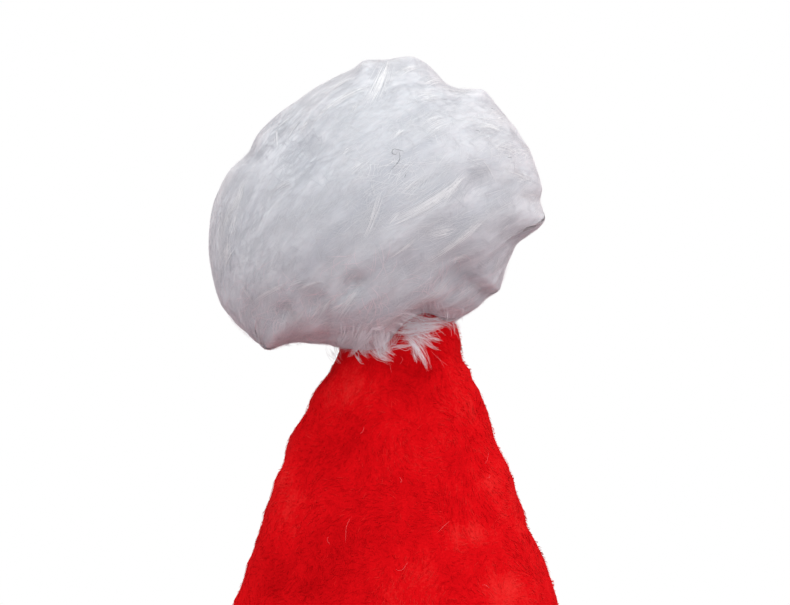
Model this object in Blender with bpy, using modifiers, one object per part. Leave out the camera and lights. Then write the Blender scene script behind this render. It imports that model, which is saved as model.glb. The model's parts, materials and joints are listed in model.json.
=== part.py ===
"""Santa hat: a red plush crown, a white fur cuff turned up round its rim and a white fur pompom on its tip.

Blender works in metres and +Z is up. Sizes are written in millimetres and scaled once, by MM. The hat stands
on its cuff with its front towards -Y, and the origin is the centre of the cuff's underside.
"""

import math
import random
from collections import namedtuple

import bmesh
import bpy
from mathutils import Vector

MM = 0.001
CLEARANCE = 0.35  # gap between pieces that are sewn or fitted together

RIM_SEGMENTS = 40  # facets round the crown and the cuff
WALL = 3.0  # plush cloth with its short pile

# The crown's outer surface, from the rim up: an oval rim that flattens a little towards the narrow tip.
CrownRow = namedtuple("CrownRow", "height half_width half_depth shift_x")
CROWN_ROWS = (
    CrownRow(4.0, 114.5, 65.0, 0.0),
    CrownRow(12.0, 114.5, 65.0, 0.0),
    CrownRow(62.0, 100.5, 57.5, 0.0),
    CrownRow(120.0, 83.5, 49.0, 0.0),
    CrownRow(180.0, 64.5, 39.5, 0.0),
    CrownRow(230.0, 48.0, 30.0, 0.0),
    CrownRow(253.0, 39.4, 25.0, 0.0),
    CrownRow(278.0, 30.2, 19.5, -0.4),
    CrownRow(296.0, 23.6, 15.0, -0.5),
    CrownRow(307.0, 18.2, 12.0, 0.3),
    CrownRow(314.0, 15.0, 10.0, 0.7),
    CrownRow(322.0, 13.8, 9.2, 0.8),
    CrownRow(326.5, 10.8, 7.2, 0.8),
    CrownRow(329.0, 6.0, 4.0, 0.8),
)
CROWN_TOP = 329.8
CROWN_RING_HEIGHTS = (
    4.0, 12.0, 36.0, 62.0, 86.0, 110.0, 134.0, 158.0, 181.0, 204.0, 226.0,
    246.0, 264.0, 280.0, 294.0, 305.0, 314.0, 322.0, 326.5, 329.0,
)

# Soft hollows (depth above 0) and swellings (below 0) of the standing cloth. Angle 270 is the front.
Dent = namedtuple("Dent", "angle height depth angle_spread height_spread")
CROWN_DENTS = (
    Dent(228, 264, 2.6, 24, 17),
    Dent(300, 236, -1.6, 22, 20),
    Dent(262, 176, 5.0, 17, 42),
    Dent(318, 150, 5.5, 14, 46),
    Dent(290, 118, -3.0, 18, 34),
    Dent(208, 150, 4.5, 16, 40),
    Dent(96, 214, 4.5, 20, 34),
    Dent(62, 140, 5.5, 15, 44),
    Dent(128, 128, 4.5, 15, 40),
    Dent(22, 190, 3.0, 14, 34),
)

# The cuff's section: distance out from the crown's outer surface, and height. The crown's edge stands in
# the fold between the outer band and the hem inside.
CuffPoint = namedtuple("CuffPoint", "out height")
HEM_FACE = -WALL - 0.6
CUFF_SECTION = (
    CuffPoint(CLEARANCE, 62.0),
    CuffPoint(CLEARANCE, 36.0),
    CuffPoint(CLEARANCE, 12.0),
    CuffPoint(CLEARANCE, 4.0 - CLEARANCE),
    CuffPoint(HEM_FACE, 4.0 - CLEARANCE),
    CuffPoint(HEM_FACE, 12.0),
    CuffPoint(HEM_FACE, 21.0),
    CuffPoint(HEM_FACE - 2.0, 20.0),
    CuffPoint(HEM_FACE - 2.2, 4.0),
    CuffPoint(HEM_FACE - 0.6, 0.0),
    CuffPoint(6.5, 0.0),
    CuffPoint(10.0, 4.5),
    CuffPoint(11.6, 16.0),
    CuffPoint(12.0, 31.0),
    CuffPoint(11.2, 46.0),
    CuffPoint(8.8, 57.0),
    CuffPoint(4.8, 63.0),
    CuffPoint(1.6, 63.6),
)

# The cuff's fur: rows of locks that lie on the band and point down and a little sideways.
LockRow = namedtuple("LockRow", "count top_height length turn width thickness")
CUFF_LOCK_ROWS = (
    LockRow(28, 60.0, 32.0, 0.5, 18.0, 5.6),
    LockRow(28, 34.0, 29.0, 0.0, 18.0, 5.4),
)
CUFF_LOCK_DRIFT = math.radians(4.5)  # how far round the rim a lock's tip swings at full sway
CUFF_LOCK_LOWEST = 1.6
CUFF_LOCK_LIFT = (-1.6, 0.8)  # how far a lock's root and tip stand off the band's face

# The pompom's outline as seen from the front: distance from its centre at each angle, 90 being up.
POMPOM_CENTRE = Vector((-4.3, 0.0, 349.0))
POMPOM_HALF_DEPTH = 35.0
OutlineRow = namedtuple("OutlineRow", "angle radius")
POMPOM_OUTLINE = (
    OutlineRow(0, 40.6),
    OutlineRow(22, 38.8),
    OutlineRow(42, 37.6),
    OutlineRow(58, 33.4),
    OutlineRow(74, 37.0),
    OutlineRow(100, 33.8),
    OutlineRow(125, 31.8),
    OutlineRow(147, 34.4),
    OutlineRow(160, 34.6),
    OutlineRow(168, 37.2),
    OutlineRow(183, 40.8),
    OutlineRow(200, 44.6),
    OutlineRow(214, 47.0),
    OutlineRow(226, 44.8),
    OutlineRow(242, 39.4),
    OutlineRow(270, 37.4),
    OutlineRow(300, 34.0),
    OutlineRow(322, 35.6),
    OutlineRow(342, 34.2),
)
FUR_DEPTH = 2.0  # how far the head lies under the outline that the locks reach
HEAD_SEGMENTS = 24
HEAD_RINGS = 14
# The fur is combed from one side of the ball, low on the left, round to the other, on the right.
COMB_START = Vector((-0.55, 0.25, -0.80)).normalized()
COMB_END = Vector((0.96, 0.28, 0.0)).normalized()
BARE_END = math.radians(24)  # no lock starts this near to the comb's end
POMPOM_LOCKS = 44
POMPOM_LOCK_LENGTH = 27.0
POMPOM_LOCK_WIDTH = 13.0
POMPOM_LOCK_THICKNESS = 5.0
POMPOM_LOCK_LIFT = (-1.4, 1.8)  # how far a lock's root and tip stand off the head
LONGEST_WAY = 0.8  # the most of the way to the comb's end that a lock covers
SOCKET_BOTTOM = 285.0

LOCK_SIDES = 5
# A lock's fullness from root to tip, as a share of its width and thickness. It ends in a point.
LOCK_FULLNESS = (0.55, 1.0, 0.88, 0.5)

RED_PLUSH = ((0.66, 0.006, 0.010), 0.85)
WHITE_FUR = ((0.80, 0.81, 0.85), 0.70)


def clear_scene():
    for old in list(bpy.data.objects):
        bpy.data.objects.remove(old, do_unlink=True)


def new_collection(name):
    collection = bpy.data.collections.new(name)
    bpy.context.scene.collection.children.link(collection)
    return collection


def new_material(name, colour, roughness):
    material = bpy.data.materials.new(name)
    material.use_nodes = True
    shader = material.node_tree.nodes["Principled BSDF"]
    shader.inputs["Base Color"].default_value = (*colour, 1.0)
    shader.inputs["Roughness"].default_value = roughness
    shader.inputs["Metallic"].default_value = 0.0
    return material


def new_object(name, bm, collection, material=None):
    """Turns a bmesh in millimetres into an object in metres."""
    bmesh.ops.scale(bm, vec=(MM, MM, MM), verts=bm.verts)
    bmesh.ops.recalc_face_normals(bm, faces=bm.faces)
    mesh = bpy.data.meshes.new(name)
    bm.to_mesh(mesh)
    bm.free()
    mesh.shade_smooth()
    mesh.set_sharp_from_angle(angle=math.radians(50))
    if material:
        mesh.materials.append(material)
    obj = bpy.data.objects.new(name, mesh)
    collection.objects.link(obj)
    return obj


def hide_helper(obj):
    obj.hide_render = True
    obj.display_type = "WIRE"


def add_boolean(obj, other, operation, self_crossing=False):
    modifier = obj.modifiers.new(f"{operation.lower()}_{other.name}", "BOOLEAN")
    modifier.operation = operation
    modifier.solver = "EXACT"
    modifier.use_self = self_crossing
    modifier.object = other


def join_up(obj):
    """Applies the object's Booleans and keeps its outer skin, so pockets sealed between locks are filled."""
    graph = bpy.context.evaluated_depsgraph_get()
    mesh = bpy.data.meshes.new_from_object(obj.evaluated_get(graph))
    bm = bmesh.new()
    bm.from_mesh(mesh)
    left = set(bm.verts)
    skins = []
    while left:
        found = {left.pop()}
        edge_of_search = list(found)
        while edge_of_search:
            vert = edge_of_search.pop()
            near = {edge.other_vert(vert) for edge in vert.link_edges} - found
            found |= near
            edge_of_search.extend(near)
        left -= found
        skins.append(found)
    outer = max(skins, key=len)
    bmesh.ops.delete(bm, geom=[vert for vert in bm.verts if vert not in outer], context="VERTS")
    bm.to_mesh(mesh)
    bm.free()
    mesh.shade_smooth()
    mesh.set_sharp_from_angle(angle=math.radians(50))
    obj.modifiers.clear()
    obj.data = mesh


def between(ends, share):
    return ends[0] + (ends[1] - ends[0]) * share


def hermite(p0, p1, p2, p3, x0, x1, x2, x3, x):
    """A smooth curve through p1 and p2 whose slopes come from their neighbours."""
    span = x2 - x1
    slope1 = (p2 - p0) / (x2 - x0)
    slope2 = (p3 - p1) / (x3 - x1)
    t = (x - x1) / span
    return (
        (2 * t**3 - 3 * t**2 + 1) * p1
        + (t**3 - 2 * t**2 + t) * span * slope1
        + (3 * t**2 - 2 * t**3) * p2
        + (t**3 - t**2) * span * slope2
    )


def ring_of(corner, count):
    return [corner(2 * math.pi * step / count) for step in range(count)]


def loft(bm, rings, close_ends=False, close_loop=False):
    """Joins rings of points, each with the same number of corners, by four-sided faces."""
    rows = [[bm.verts.new(point) for point in ring] for ring in rings]
    pairs = list(zip(rows, rows[1:]))
    if close_loop:
        pairs.append((rows[-1], rows[0]))
    for low, high in pairs:
        for k in range(len(low)):
            after = (k + 1) % len(low)
            bm.faces.new((low[k], low[after], high[after], high[k]))
    if close_ends:
        bm.faces.new(rows[0])
        bm.faces.new(rows[-1])
    return rows


def crown_sizes(height):
    """The crown's half width, half depth and sideways shift at a height."""
    rows = CROWN_ROWS
    height = min(max(height, rows[0].height), rows[-1].height)
    upper = next(k for k in range(1, len(rows)) if height <= rows[k].height)
    if upper == 1:
        return rows[0][1:]
    near = [rows[min(max(k, 0), len(rows) - 1)] for k in range(upper - 2, upper + 2)]
    if upper == len(rows) - 1:
        # The last row has none above it, so the curve levels out towards a copy of it.
        near[3] = CrownRow(CROWN_TOP + 3.0, *near[2][1:])
    heights = [row.height for row in near]
    return tuple(hermite(*(row[column] for row in near), *heights, height) for column in (1, 2, 3))


def dent_depth(angle, height):
    depth = 0.0
    for dent in CROWN_DENTS:
        turn = (math.degrees(angle) - dent.angle + 180) % 360 - 180
        reach = (turn / dent.angle_spread) ** 2 + ((height - dent.height) / dent.height_spread) ** 2
        depth += dent.depth * math.exp(-reach)
    return depth


def crown_point(angle, height, out=0.0):
    """A point on the crown's outer surface, or that far out from it in plan."""
    half_width, half_depth, shift_x = crown_sizes(height)
    normal = Vector((math.cos(angle) / half_width, math.sin(angle) / half_depth, 0)).normalized()
    x = shift_x + half_width * math.cos(angle)
    y = half_depth * math.sin(angle)
    return Vector((x, y, height)) + normal * (out - dent_depth(angle, height))


def crown_ring(height, out=0.0, at_height=None):
    ring = ring_of(lambda angle: crown_point(angle, height, out), RIM_SEGMENTS)
    if at_height is not None:
        for point in ring:
            point.z = at_height
    return ring


def build_crown(collection, material):
    """An open cone of cloth, closed at its tip and given its thickness inwards."""
    bm = bmesh.new()
    rows = loft(bm, [crown_ring(height) for height in CROWN_RING_HEIGHTS])
    tip = bm.verts.new((crown_sizes(CROWN_TOP)[2], 0, CROWN_TOP))
    last = rows[-1]
    for k in range(RIM_SEGMENTS):
        bm.faces.new((last[k], last[(k + 1) % RIM_SEGMENTS], tip))
    crown = new_object("crown", bm, collection, material)
    wall = crown.modifiers.new("wall", "SOLIDIFY")
    wall.thickness = WALL * MM
    wall.offset = -1.0
    wall.use_even_offset = True
    return crown


def add_lock(bm, path, outward, width, thickness):
    """A closed tapering lock of fur along a path, flat against the surface that it lies on."""
    rings = []
    for k, fullness in enumerate(LOCK_FULLNESS):
        along = (path[k + 1] - path[max(k - 1, 0)]).normalized()
        side = along.cross(outward[k]).normalized()
        up = side.cross(along).normalized()
        half_width = width / 2 * fullness
        half_thickness = thickness / 2 * fullness
        rings.append(
            ring_of(
                lambda a: path[k] + side * (half_width * math.cos(a)) + up * (half_thickness * math.sin(a)),
                LOCK_SIDES,
            )
        )
    rows = loft(bm, rings)
    bm.faces.new(rows[0])
    tip = bm.verts.new(path[len(LOCK_FULLNESS)])
    for k in range(LOCK_SIDES):
        bm.faces.new((rows[-1][k], rows[-1][(k + 1) % LOCK_SIDES], tip))


def cuff_face(height):
    """How far out the band's outer face lies at a height."""
    face = [p for p in CUFF_SECTION if p.out > 2 * CLEARANCE]
    upper = next((k for k in range(1, len(face)) if height <= face[k].height), len(face) - 1)
    low, high = face[upper - 1], face[upper]
    share = min(max((height - low.height) / (high.height - low.height), 0.0), 1.0)
    return between((low.out, high.out), share)


def add_cuff_lock(bm, angle, row, sway):
    """One lock that hangs on the band, its tip swept sideways and lifted a little."""
    steps = len(LOCK_FULLNESS)
    path = []
    outward = []
    for k in range(steps + 1):
        share = k / steps
        height = max(row.top_height - row.length * share, CUFF_LOCK_LOWEST)
        turn = angle + CUFF_LOCK_DRIFT * sway * share**1.5
        lift = between(CUFF_LOCK_LIFT, share)
        path.append(crown_point(turn, height, cuff_face(height) + lift))
        outward.append((crown_point(turn, height, 1.0) - crown_point(turn, height)).normalized())
    add_lock(bm, path, outward, row.width, row.thickness)


def build_cuff(collection, helpers, material):
    """The fur band: one section swept round the rim, with its locks joined on."""
    bm = bmesh.new()
    loft(bm, [crown_ring(p.height, p.out, at_height=p.height) for p in CUFF_SECTION], close_loop=True)
    cuff = new_object("cuff", bm, collection, material)
    chance = random.Random(11)
    locks = bmesh.new()
    for row in CUFF_LOCK_ROWS:
        for k in range(row.count // 2):
            sway = chance.uniform(-0.4, 1.2)
            length = row.length * chance.uniform(0.88, 1.06)
            this_row = row._replace(length=length, top_height=row.top_height + chance.uniform(-2.0, 1.0))
            angle = 2 * math.pi * (k + row.turn + chance.uniform(-0.12, 0.12)) / row.count
            # Each lock has a twin on the other side of the rim, which keeps the hat's box centred.
            for twin in (angle, angle + math.pi):
                add_cuff_lock(locks, twin, this_row, sway)
    cuff_locks = new_object("cuff_locks", locks, helpers)
    hide_helper(cuff_locks)
    add_boolean(cuff, cuff_locks, "UNION", self_crossing=True)
    join_up(cuff)
    return cuff


def outline_radius(angle):
    """The pompom's outline radius at an angle in the front view, in degrees."""
    rows = POMPOM_OUTLINE
    angle = angle % 360
    lower = max(k for k in range(len(rows)) if rows[k].angle <= angle)
    near = [rows[(lower + step) % len(rows)] for step in (-1, 0, 1, 2)]
    angles = [row.angle for row in near]
    if angles[0] > angles[1]:
        angles[0] -= 360
    for k in (2, 3):
        if angles[k] < angles[1]:
            angles[k] += 360
    return hermite(*(row.radius for row in near), *angles, angle)


def pompom_point(direction, lift=0.0):
    """A point on the pompom's head in this direction from its centre, or that far above it."""
    radius = outline_radius(math.degrees(math.atan2(direction.z, direction.x))) - FUR_DEPTH + lift
    depth = POMPOM_HALF_DEPTH - FUR_DEPTH + lift
    return POMPOM_CENTRE + Vector((radius * direction.x, depth * direction.y, radius * direction.z))


def comb(direction):
    """The way that the fur is combed at a point of the ball: away from its start and towards its end."""
    from_start = direction - COMB_START
    from_end = direction - COMB_END
    flow = from_start / from_start.length_squared - from_end / from_end.length_squared
    flow -= direction * flow.dot(direction)
    return flow.normalized()


def add_pompom_lock(bm, direction, length, width, sway):
    """One lock combed over the ball. It stops short of the place where all the fur meets."""
    steps = len(LOCK_FULLNESS)
    length = min(length, LONGEST_WAY * direction.angle(COMB_END) * POMPOM_HALF_DEPTH)
    path = []
    outward = []
    for k in range(steps + 1):
        share = k / steps
        path.append(pompom_point(direction, between(POMPOM_LOCK_LIFT, share)))
        outward.append(direction.copy())
        flow = comb(direction)
        flow = (flow + direction.cross(flow) * sway * share).normalized()
        direction = (direction + flow * (length / steps / POMPOM_HALF_DEPTH)).normalized()
    add_lock(bm, path, outward, width, POMPOM_LOCK_THICKNESS)


def build_pompom(collection, helpers, material):
    """The fur ball: a head with its locks joined on, and a socket for the crown's tip."""
    bm = bmesh.new()
    bmesh.ops.create_uvsphere(bm, u_segments=HEAD_SEGMENTS, v_segments=HEAD_RINGS, radius=1.0)
    for vert in bm.verts:
        x, y, z = vert.co
        vert.co = pompom_point(Vector((x, z, -y)))
    pompom = new_object("pompom", bm, collection, material)

    chance = random.Random(5)
    locks = bmesh.new()
    golden_turn = math.pi * (3 - math.sqrt(5))
    for k in range(POMPOM_LOCKS):
        level = 1 - 2 * (k + 0.5) / POMPOM_LOCKS
        around = golden_turn * k
        reach = math.sqrt(1 - level * level)
        root = Vector((reach * math.cos(around), level, reach * math.sin(around)))
        if root.angle(COMB_END) < BARE_END:
            continue
        add_pompom_lock(
            locks,
            root,
            POMPOM_LOCK_LENGTH * chance.uniform(0.8, 1.1),
            POMPOM_LOCK_WIDTH * chance.uniform(0.8, 1.15),
            chance.uniform(-0.5, 0.5),
        )
    pompom_locks = new_object("pompom_locks", locks, helpers)
    hide_helper(pompom_locks)
    add_boolean(pompom, pompom_locks, "UNION", self_crossing=True)

    bm = bmesh.new()
    heights = [height for height in CROWN_RING_HEIGHTS if height > SOCKET_BOTTOM]
    rings = [crown_ring(height, CLEARANCE) for height in heights]
    rings.append(crown_ring(heights[-1], CLEARANCE, at_height=CROWN_TOP + CLEARANCE))
    loft(bm, rings, close_ends=True)
    socket = new_object("pompom_socket", bm, helpers)
    hide_helper(socket)
    add_boolean(pompom, socket, "DIFFERENCE")
    join_up(pompom)
    return pompom


def main():
    clear_scene()
    hat = new_collection("santa_hat")
    helpers = new_collection("santa_hat_helpers")
    red_plush = new_material("red_plush", *RED_PLUSH)
    white_fur = new_material("white_fur", *WHITE_FUR)
    build_crown(hat, red_plush)
    build_cuff(hat, helpers, white_fur)
    build_pompom(hat, helpers, white_fur)


main()
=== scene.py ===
"""Santa hat, dressed: red plush on the crown, long white fur on the cuff and the pompom.

Every piece is laid over a copy of the solid that it stands for. Lengths are in metres, and table columns
that say so are in millimetres. +Z is up, the front is towards -Y, and the hat stands on the floor at Z 0.
"""

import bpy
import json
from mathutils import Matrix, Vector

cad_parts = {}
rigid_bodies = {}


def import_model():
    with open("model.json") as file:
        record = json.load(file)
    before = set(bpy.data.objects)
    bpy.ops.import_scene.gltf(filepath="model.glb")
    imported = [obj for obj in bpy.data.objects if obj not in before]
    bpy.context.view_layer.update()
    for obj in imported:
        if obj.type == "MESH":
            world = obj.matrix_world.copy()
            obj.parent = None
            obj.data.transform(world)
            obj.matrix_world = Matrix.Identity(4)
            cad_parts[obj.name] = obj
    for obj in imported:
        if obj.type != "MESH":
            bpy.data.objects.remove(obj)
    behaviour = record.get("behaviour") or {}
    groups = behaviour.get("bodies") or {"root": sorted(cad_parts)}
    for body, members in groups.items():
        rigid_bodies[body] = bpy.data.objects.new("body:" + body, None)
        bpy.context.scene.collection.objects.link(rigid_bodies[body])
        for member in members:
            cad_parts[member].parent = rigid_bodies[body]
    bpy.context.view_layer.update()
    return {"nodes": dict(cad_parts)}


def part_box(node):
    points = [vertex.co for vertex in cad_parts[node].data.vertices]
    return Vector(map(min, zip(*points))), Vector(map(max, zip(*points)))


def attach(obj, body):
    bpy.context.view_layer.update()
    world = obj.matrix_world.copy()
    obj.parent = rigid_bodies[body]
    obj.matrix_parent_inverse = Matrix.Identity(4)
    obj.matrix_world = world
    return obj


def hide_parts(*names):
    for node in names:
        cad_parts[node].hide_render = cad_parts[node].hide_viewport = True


bl_info = {
    "name": "Santa Hat",
    "version": (1, 0, 0),
    "blender": (4, 5, 0),
    "location": "3D View > Sidebar > Santa Hat",
    "description": "Plush and fur for a santa hat, laid over its solids",
    "category": "Add Mesh",
}

import json
import math
from collections import namedtuple

import bmesh
import bpy
import numpy as np
from bpy.props import FloatProperty, FloatVectorProperty, IntProperty, PointerProperty
from mathutils import Vector, noise
from mathutils.bvhtree import BVHTree

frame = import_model()

MM = 0.001
BODY = "root"
RED_SLOT = "red_plush"
WHITE_SLOT = "white_fur"
MERGE = 0.01 * MM
UP = np.array((0.0, 0.0, 1.0))

# Tables that give x and z as seen from the front mean the upright plane through the hat's middle, which the
# level camera sees from here.
EYE = np.array((0.0, -526.7, 325.6)) * MM

# The pompom's outline as seen from the front: distance in mm from its centre at each angle, 90 being up.
POMPOM_CENTRE = np.array((-4.3, 0.0, 349.0)) * MM
POMPOM_HALF_DEPTH = 34.6 * MM
OutlineRow = namedtuple("OutlineRow", "angle radius")
POMPOM_OUTLINE = (
    OutlineRow(1.5, 39.3),
    OutlineRow(5.5, 40.5),
    OutlineRow(12, 39.5),
    OutlineRow(19, 39.2),
    OutlineRow(30, 38.3),
    OutlineRow(34, 37.8),
    OutlineRow(44, 37.8),
    OutlineRow(47, 37.9),
    OutlineRow(53, 34.8),
    OutlineRow(56, 33.8),
    OutlineRow(61, 33.9),
    OutlineRow(70, 36.2),
    OutlineRow(76, 37.0),
    OutlineRow(87, 35.1),
    OutlineRow(95, 35.4),
    OutlineRow(100, 33.3),
    OutlineRow(113, 32.2),
    OutlineRow(127, 31.7),
    OutlineRow(137, 32.5),
    OutlineRow(150, 33.7),
    OutlineRow(159, 33.3),
    OutlineRow(166, 36.3),
    OutlineRow(180, 39.5),
    OutlineRow(195, 42.2),
    OutlineRow(213, 44.9),
    OutlineRow(226, 44.3),
    OutlineRow(233, 44.2),
    OutlineRow(237, 40.0),
    OutlineRow(241, 38.0),
    OutlineRow(250, 35.9),
    OutlineRow(270, 36.6),
    OutlineRow(290, 35.4),
    OutlineRow(305, 33.8),
    OutlineRow(315, 34.9),
    OutlineRow(320, 34.6),
    OutlineRow(325, 36.2),
    OutlineRow(333, 34.8),
    OutlineRow(339, 34.9),
    OutlineRow(344, 35.1),
    OutlineRow(348.5, 37.3),
    OutlineRow(352, 39.7),
    OutlineRow(355, 40.9),
    OutlineRow(358, 40.1),
)

# Hollows pressed into the front of the pompom: their middle, radius and depth in mm.
Hollow = namedtuple("Hollow", "x z radius depth")
POMPOM_HOLLOWS = (
    Hollow(17.2, 330.0, 6.0, 1.8),
    Hollow(21.0, 354.6, 4.2, 1.2),
    Hollow(-24.0, 363.5, 6.5, 0.9),
    Hollow(-9.7, 329.4, 2.8, 1.3),
    Hollow(-19.5, 325.0, 3.4, 1.4),
    Hollow(-16.2, 320.6, 2.4, 1.0),
    Hollow(-27.0, 322.5, 2.8, 1.0),
    Hollow(2.4, 333.5, 4.0, 0.7),
    Hollow(3.0, 315.0, 4.5, 3.6),
    Hollow(8.5, 318.5, 5.0, 5.0),
)

# The pompom's fur is combed round the ball, from a place low on the left and behind to one at its back.
COMB_START = np.array((-0.55, 0.25, -0.80)) / np.linalg.norm((-0.55, 0.25, -0.80))
COMB_END = np.array((0.66, 0.75, 0.02)) / np.linalg.norm((0.66, 0.75, 0.02))

# Fur is laid in layers. A layer's strands gather into locks whose tips draw together. Lengths are in mm:
# lift is how far a strand's root and tip stand off the backing. Turn is how far a strand strays from the
# combing, in radians. Shade runs from 0, grey, to 1, white.
FurLayer = namedtuple(
    "FurLayer", "name strands length width root_lift tip_lift locks pull turn sway shade seed"
)
POMPOM_LAYERS = (
    FurLayer("pompom_down", 11000, 6.5, 0.10, -0.10, 0.25, 1200, 0.10, 0.9, 0.8, 0.36, 21),
    FurLayer("pompom_fur", 12500, 12.0, 0.10, -0.15, 0.25, 520, 0.25, 0.14, 0.5, 0.40, 22),
)
# Soft curls low on the ball, coloured pink: painted red light, for the red of the crown that shines through
# them.
POMPOM_CURLS = FurLayer("pompom_curls", 1500, 8.0, 0.10, 0.1, 0.6, 110, 0.60, 1.2, 1.6, 0.75, 23)
CUFF_LAYERS = (
    FurLayer("cuff_down", 4500, 14.0, 0.30, -0.3, 1.3, 900, 0.15, 0.8, 0.8, 0.45, 31),
    FurLayer("cuff_fur", 6500, 24.0, 0.28, -0.3, 2.4, 300, 0.50, 0.25, 0.6, 0.60, 32),
)
STRAND_POINTS = 4

# Silky tresses that catch the light on the front of the pompom: where they start and end, how far they bow
# upwards between, their strands, their width at both ends, how far they stand off and how white they are.
# Their whiteness is partly a painted highlight, for the sheen of the silky fur.
Tress = namedtuple("Tress", "x z end_x end_z bow strands width end_width lift shade")
FRONT_TRESSES = (
    Tress(-5.6, 374.0, -1.5, 384.0, -0.4, 55, 2.2, 0.9, 0.42, 1.0),
    Tress(-16.8, 375.2, -9.3, 379.6, 0.5, 35, 1.4, 0.9, 0.3, 0.95),
    Tress(-18.9, 369.6, -4.8, 377.8, 1.0, 30, 0.7, 1.0, 0.3, 0.95),
    Tress(-22.9, 366.0, -20.4, 369.9, 0.1, 15, 0.5, 0.5, 0.24, 0.9),
    Tress(-28.1, 367.2, -24.8, 370.0, 0.2, 15, 0.5, 0.5, 0.24, 0.85),
    Tress(-28.3, 363.4, -28.3, 367.0, 0.0, 12, 0.6, 0.4, 0.24, 0.8),
    Tress(-26.3, 364.0, -22.1, 369.8, 0.3, 15, 0.6, 0.5, 0.24, 0.8),
    Tress(-10.0, 371.2, -9.2, 373.4, 0.0, 12, 0.7, 0.5, 0.24, 0.85),
    Tress(-10.9, 356.8, -7.5, 359.2, 0.1, 18, 1.2, 0.8, 0.24, 0.85),
    Tress(-29.5, 351.5, -24.2, 354.8, 0.3, 18, 1.0, 0.8, 0.24, 0.7),
    Tress(-12.8, 361.2, -10.0, 363.0, 0.1, 15, 0.9, 0.7, 0.24, 0.8),
    Tress(0.9, 380.2, 5.8, 382.3, 0.3, 30, 1.8, 1.2, 0.3, 0.95),
    Tress(6.8, 377.6, 10.6, 379.0, 0.2, 30, 2.0, 1.4, 0.3, 1.0),
    Tress(5.0, 374.6, 10.4, 375.4, 0.2, 40, 2.2, 1.6, 0.3, 1.0),
    Tress(20.4, 367.8, 25.4, 367.0, 0.3, 30, 1.6, 1.2, 0.3, 1.0),
    Tress(7.4, 367.2, 12.4, 369.4, 0.3, 30, 2.2, 1.6, 0.24, 0.9),
    Tress(21.2, 359.4, 24.2, 354.2, 0.7, 12, 0.5, 1.2, 0.24, 0.80),
    Tress(11.8, 349.8, 16.7, 356.2, 0.3, 30, 1.0, 0.7, 0.36, 0.95),
    Tress(-1.0, 364.2, 2.2, 367.0, 0.1, 15, 0.9, 0.8, 0.24, 0.85),
    Tress(1.4, 351.2, 6.4, 355.6, 0.2, 15, 1.8, 1.2, 0.18, 0.85),
    Tress(-41.6, 335.5, -41.6, 349.0, 0.0, 30, 1.6, 1.2, 0.3, 0.75),
    Tress(-34.3, 325.2, -25.4, 329.9, 0.6, 25, 0.9, 0.9, 0.42, 0.8),
    Tress(-25.6, 329.7, -21.3, 331.2, 0.2, 15, 0.8, 0.7, 0.3, 0.75),
    Tress(-23.3, 328.4, -17.2, 330.8, 0.4, 18, 0.7, 0.7, 0.36, 0.8),
    Tress(-23.0, 320.2, -26.3, 324.6, 0.2, 15, 0.5, 0.6, 0.36, 0.75),
    Tress(-22.4, 320.0, -26.4, 325.0, 0.6, 12, 1.0, 0.8, 0.54, 0.75),
    Tress(-27.3, 317.5, -25.6, 323.4, 0.5, 12, 0.9, 0.8, 0.54, 0.75),
    Tress(-20.2, 321.4, -15.8, 325.6, 0.5, 17, 1.0, 0.8, 0.54, 0.8),
    Tress(-12.2, 324.2, -8.9, 328.6, 0.4, 15, 0.9, 0.8, 0.54, 0.8),
    Tress(-10.8, 317.5, -5.4, 322.0, -0.4, 18, 1.2, 1.2, 0.54, 0.8),
    Tress(-33.0, 320.4, -32.0, 314.5, 0.2, 20, 1.6, 0.8, 0.42, 0.75),
    Tress(-33.9, 325.4, -36.6, 329.6, 0.3, 15, 1.2, 0.8, 0.36, 0.7),
    Tress(-5.6, 313.8, -11.5, 318.6, 0.6, 20, 1.2, 1.4, 0.48, 0.8),
    Tress(-18.6, 321.6, -15.3, 326.4, 0.2, 18, 0.6, 0.8, 0.36, 0.8),
    Tress(-13.8, 321.8, -8.2, 329.6, 0.3, 25, 0.8, 1.0, 0.42, 0.8),
    Tress(-7.1, 341.7, -3.6, 351.6, -0.3, 25, 0.6, 1.2, 0.3, 0.95),
    Tress(-1.2, 344.7, 1.3, 347.2, 0.1, 15, 0.6, 0.7, 0.24, 0.95),
    Tress(-0.5, 345.0, 15.4, 354.8, -0.7, 60, 1.2, 1.3, 0.48, 1.0),
    Tress(8.2, 335.6, 20.7, 345.1, -0.3, 45, 0.9, 0.8, 0.48, 1.0),
    Tress(8.4, 341.5, 14.3, 343.0, 0.2, 30, 1.5, 1.2, 0.36, 1.0),
    Tress(-0.8, 336.8, 5.1, 341.4, -0.1, 22, 0.6, 0.6, 0.3, 0.9),
    Tress(13.0, 335.2, 17.4, 336.7, 0.4, 25, 1.0, 0.7, 0.54, 1.0),
    Tress(23.6, 331.5, 24.8, 336.5, 0.2, 25, 1.4, 0.8, 0.18, 0.85),
    Tress(30.6, 343.3, 35.9, 345.0, 0.2, 25, 1.0, 0.6, 0.36, 0.95),
    Tress(25.6, 343.0, 27.3, 344.6, 0.0, 12, 0.5, 0.5, 0.3, 0.9),
    Tress(24.0, 363.0, 30.5, 361.0, 0.3, 30, 1.8, 1.4, 0.24, 0.85),
    Tress(27.0, 357.0, 33.0, 354.6, 0.3, 30, 1.6, 1.2, 0.24, 0.85),
)
# Tresses that a rule lays elsewhere: how many, their length in mm and how they turn from the combing.
TressRule = namedtuple("TressRule", "name count strands length width end_width lift turn shade seed")
# The ruled tresses' near-white shade is also partly a painted highlight.
POMPOM_TRESS_RULE = TressRule("pompom_tresses", 110, 20, 17.0, 2.2, 1.0, 0.15, 0.15, 0.85, 51)
CUFF_TRESS_RULE = TressRule("cuff_tresses", 150, 22, 27.0, 4.6, 1.4, 1.2, 0.30, 0.9, 52)
GUIDE_POINTS = 9
TRESS_POINTS = 6
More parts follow.
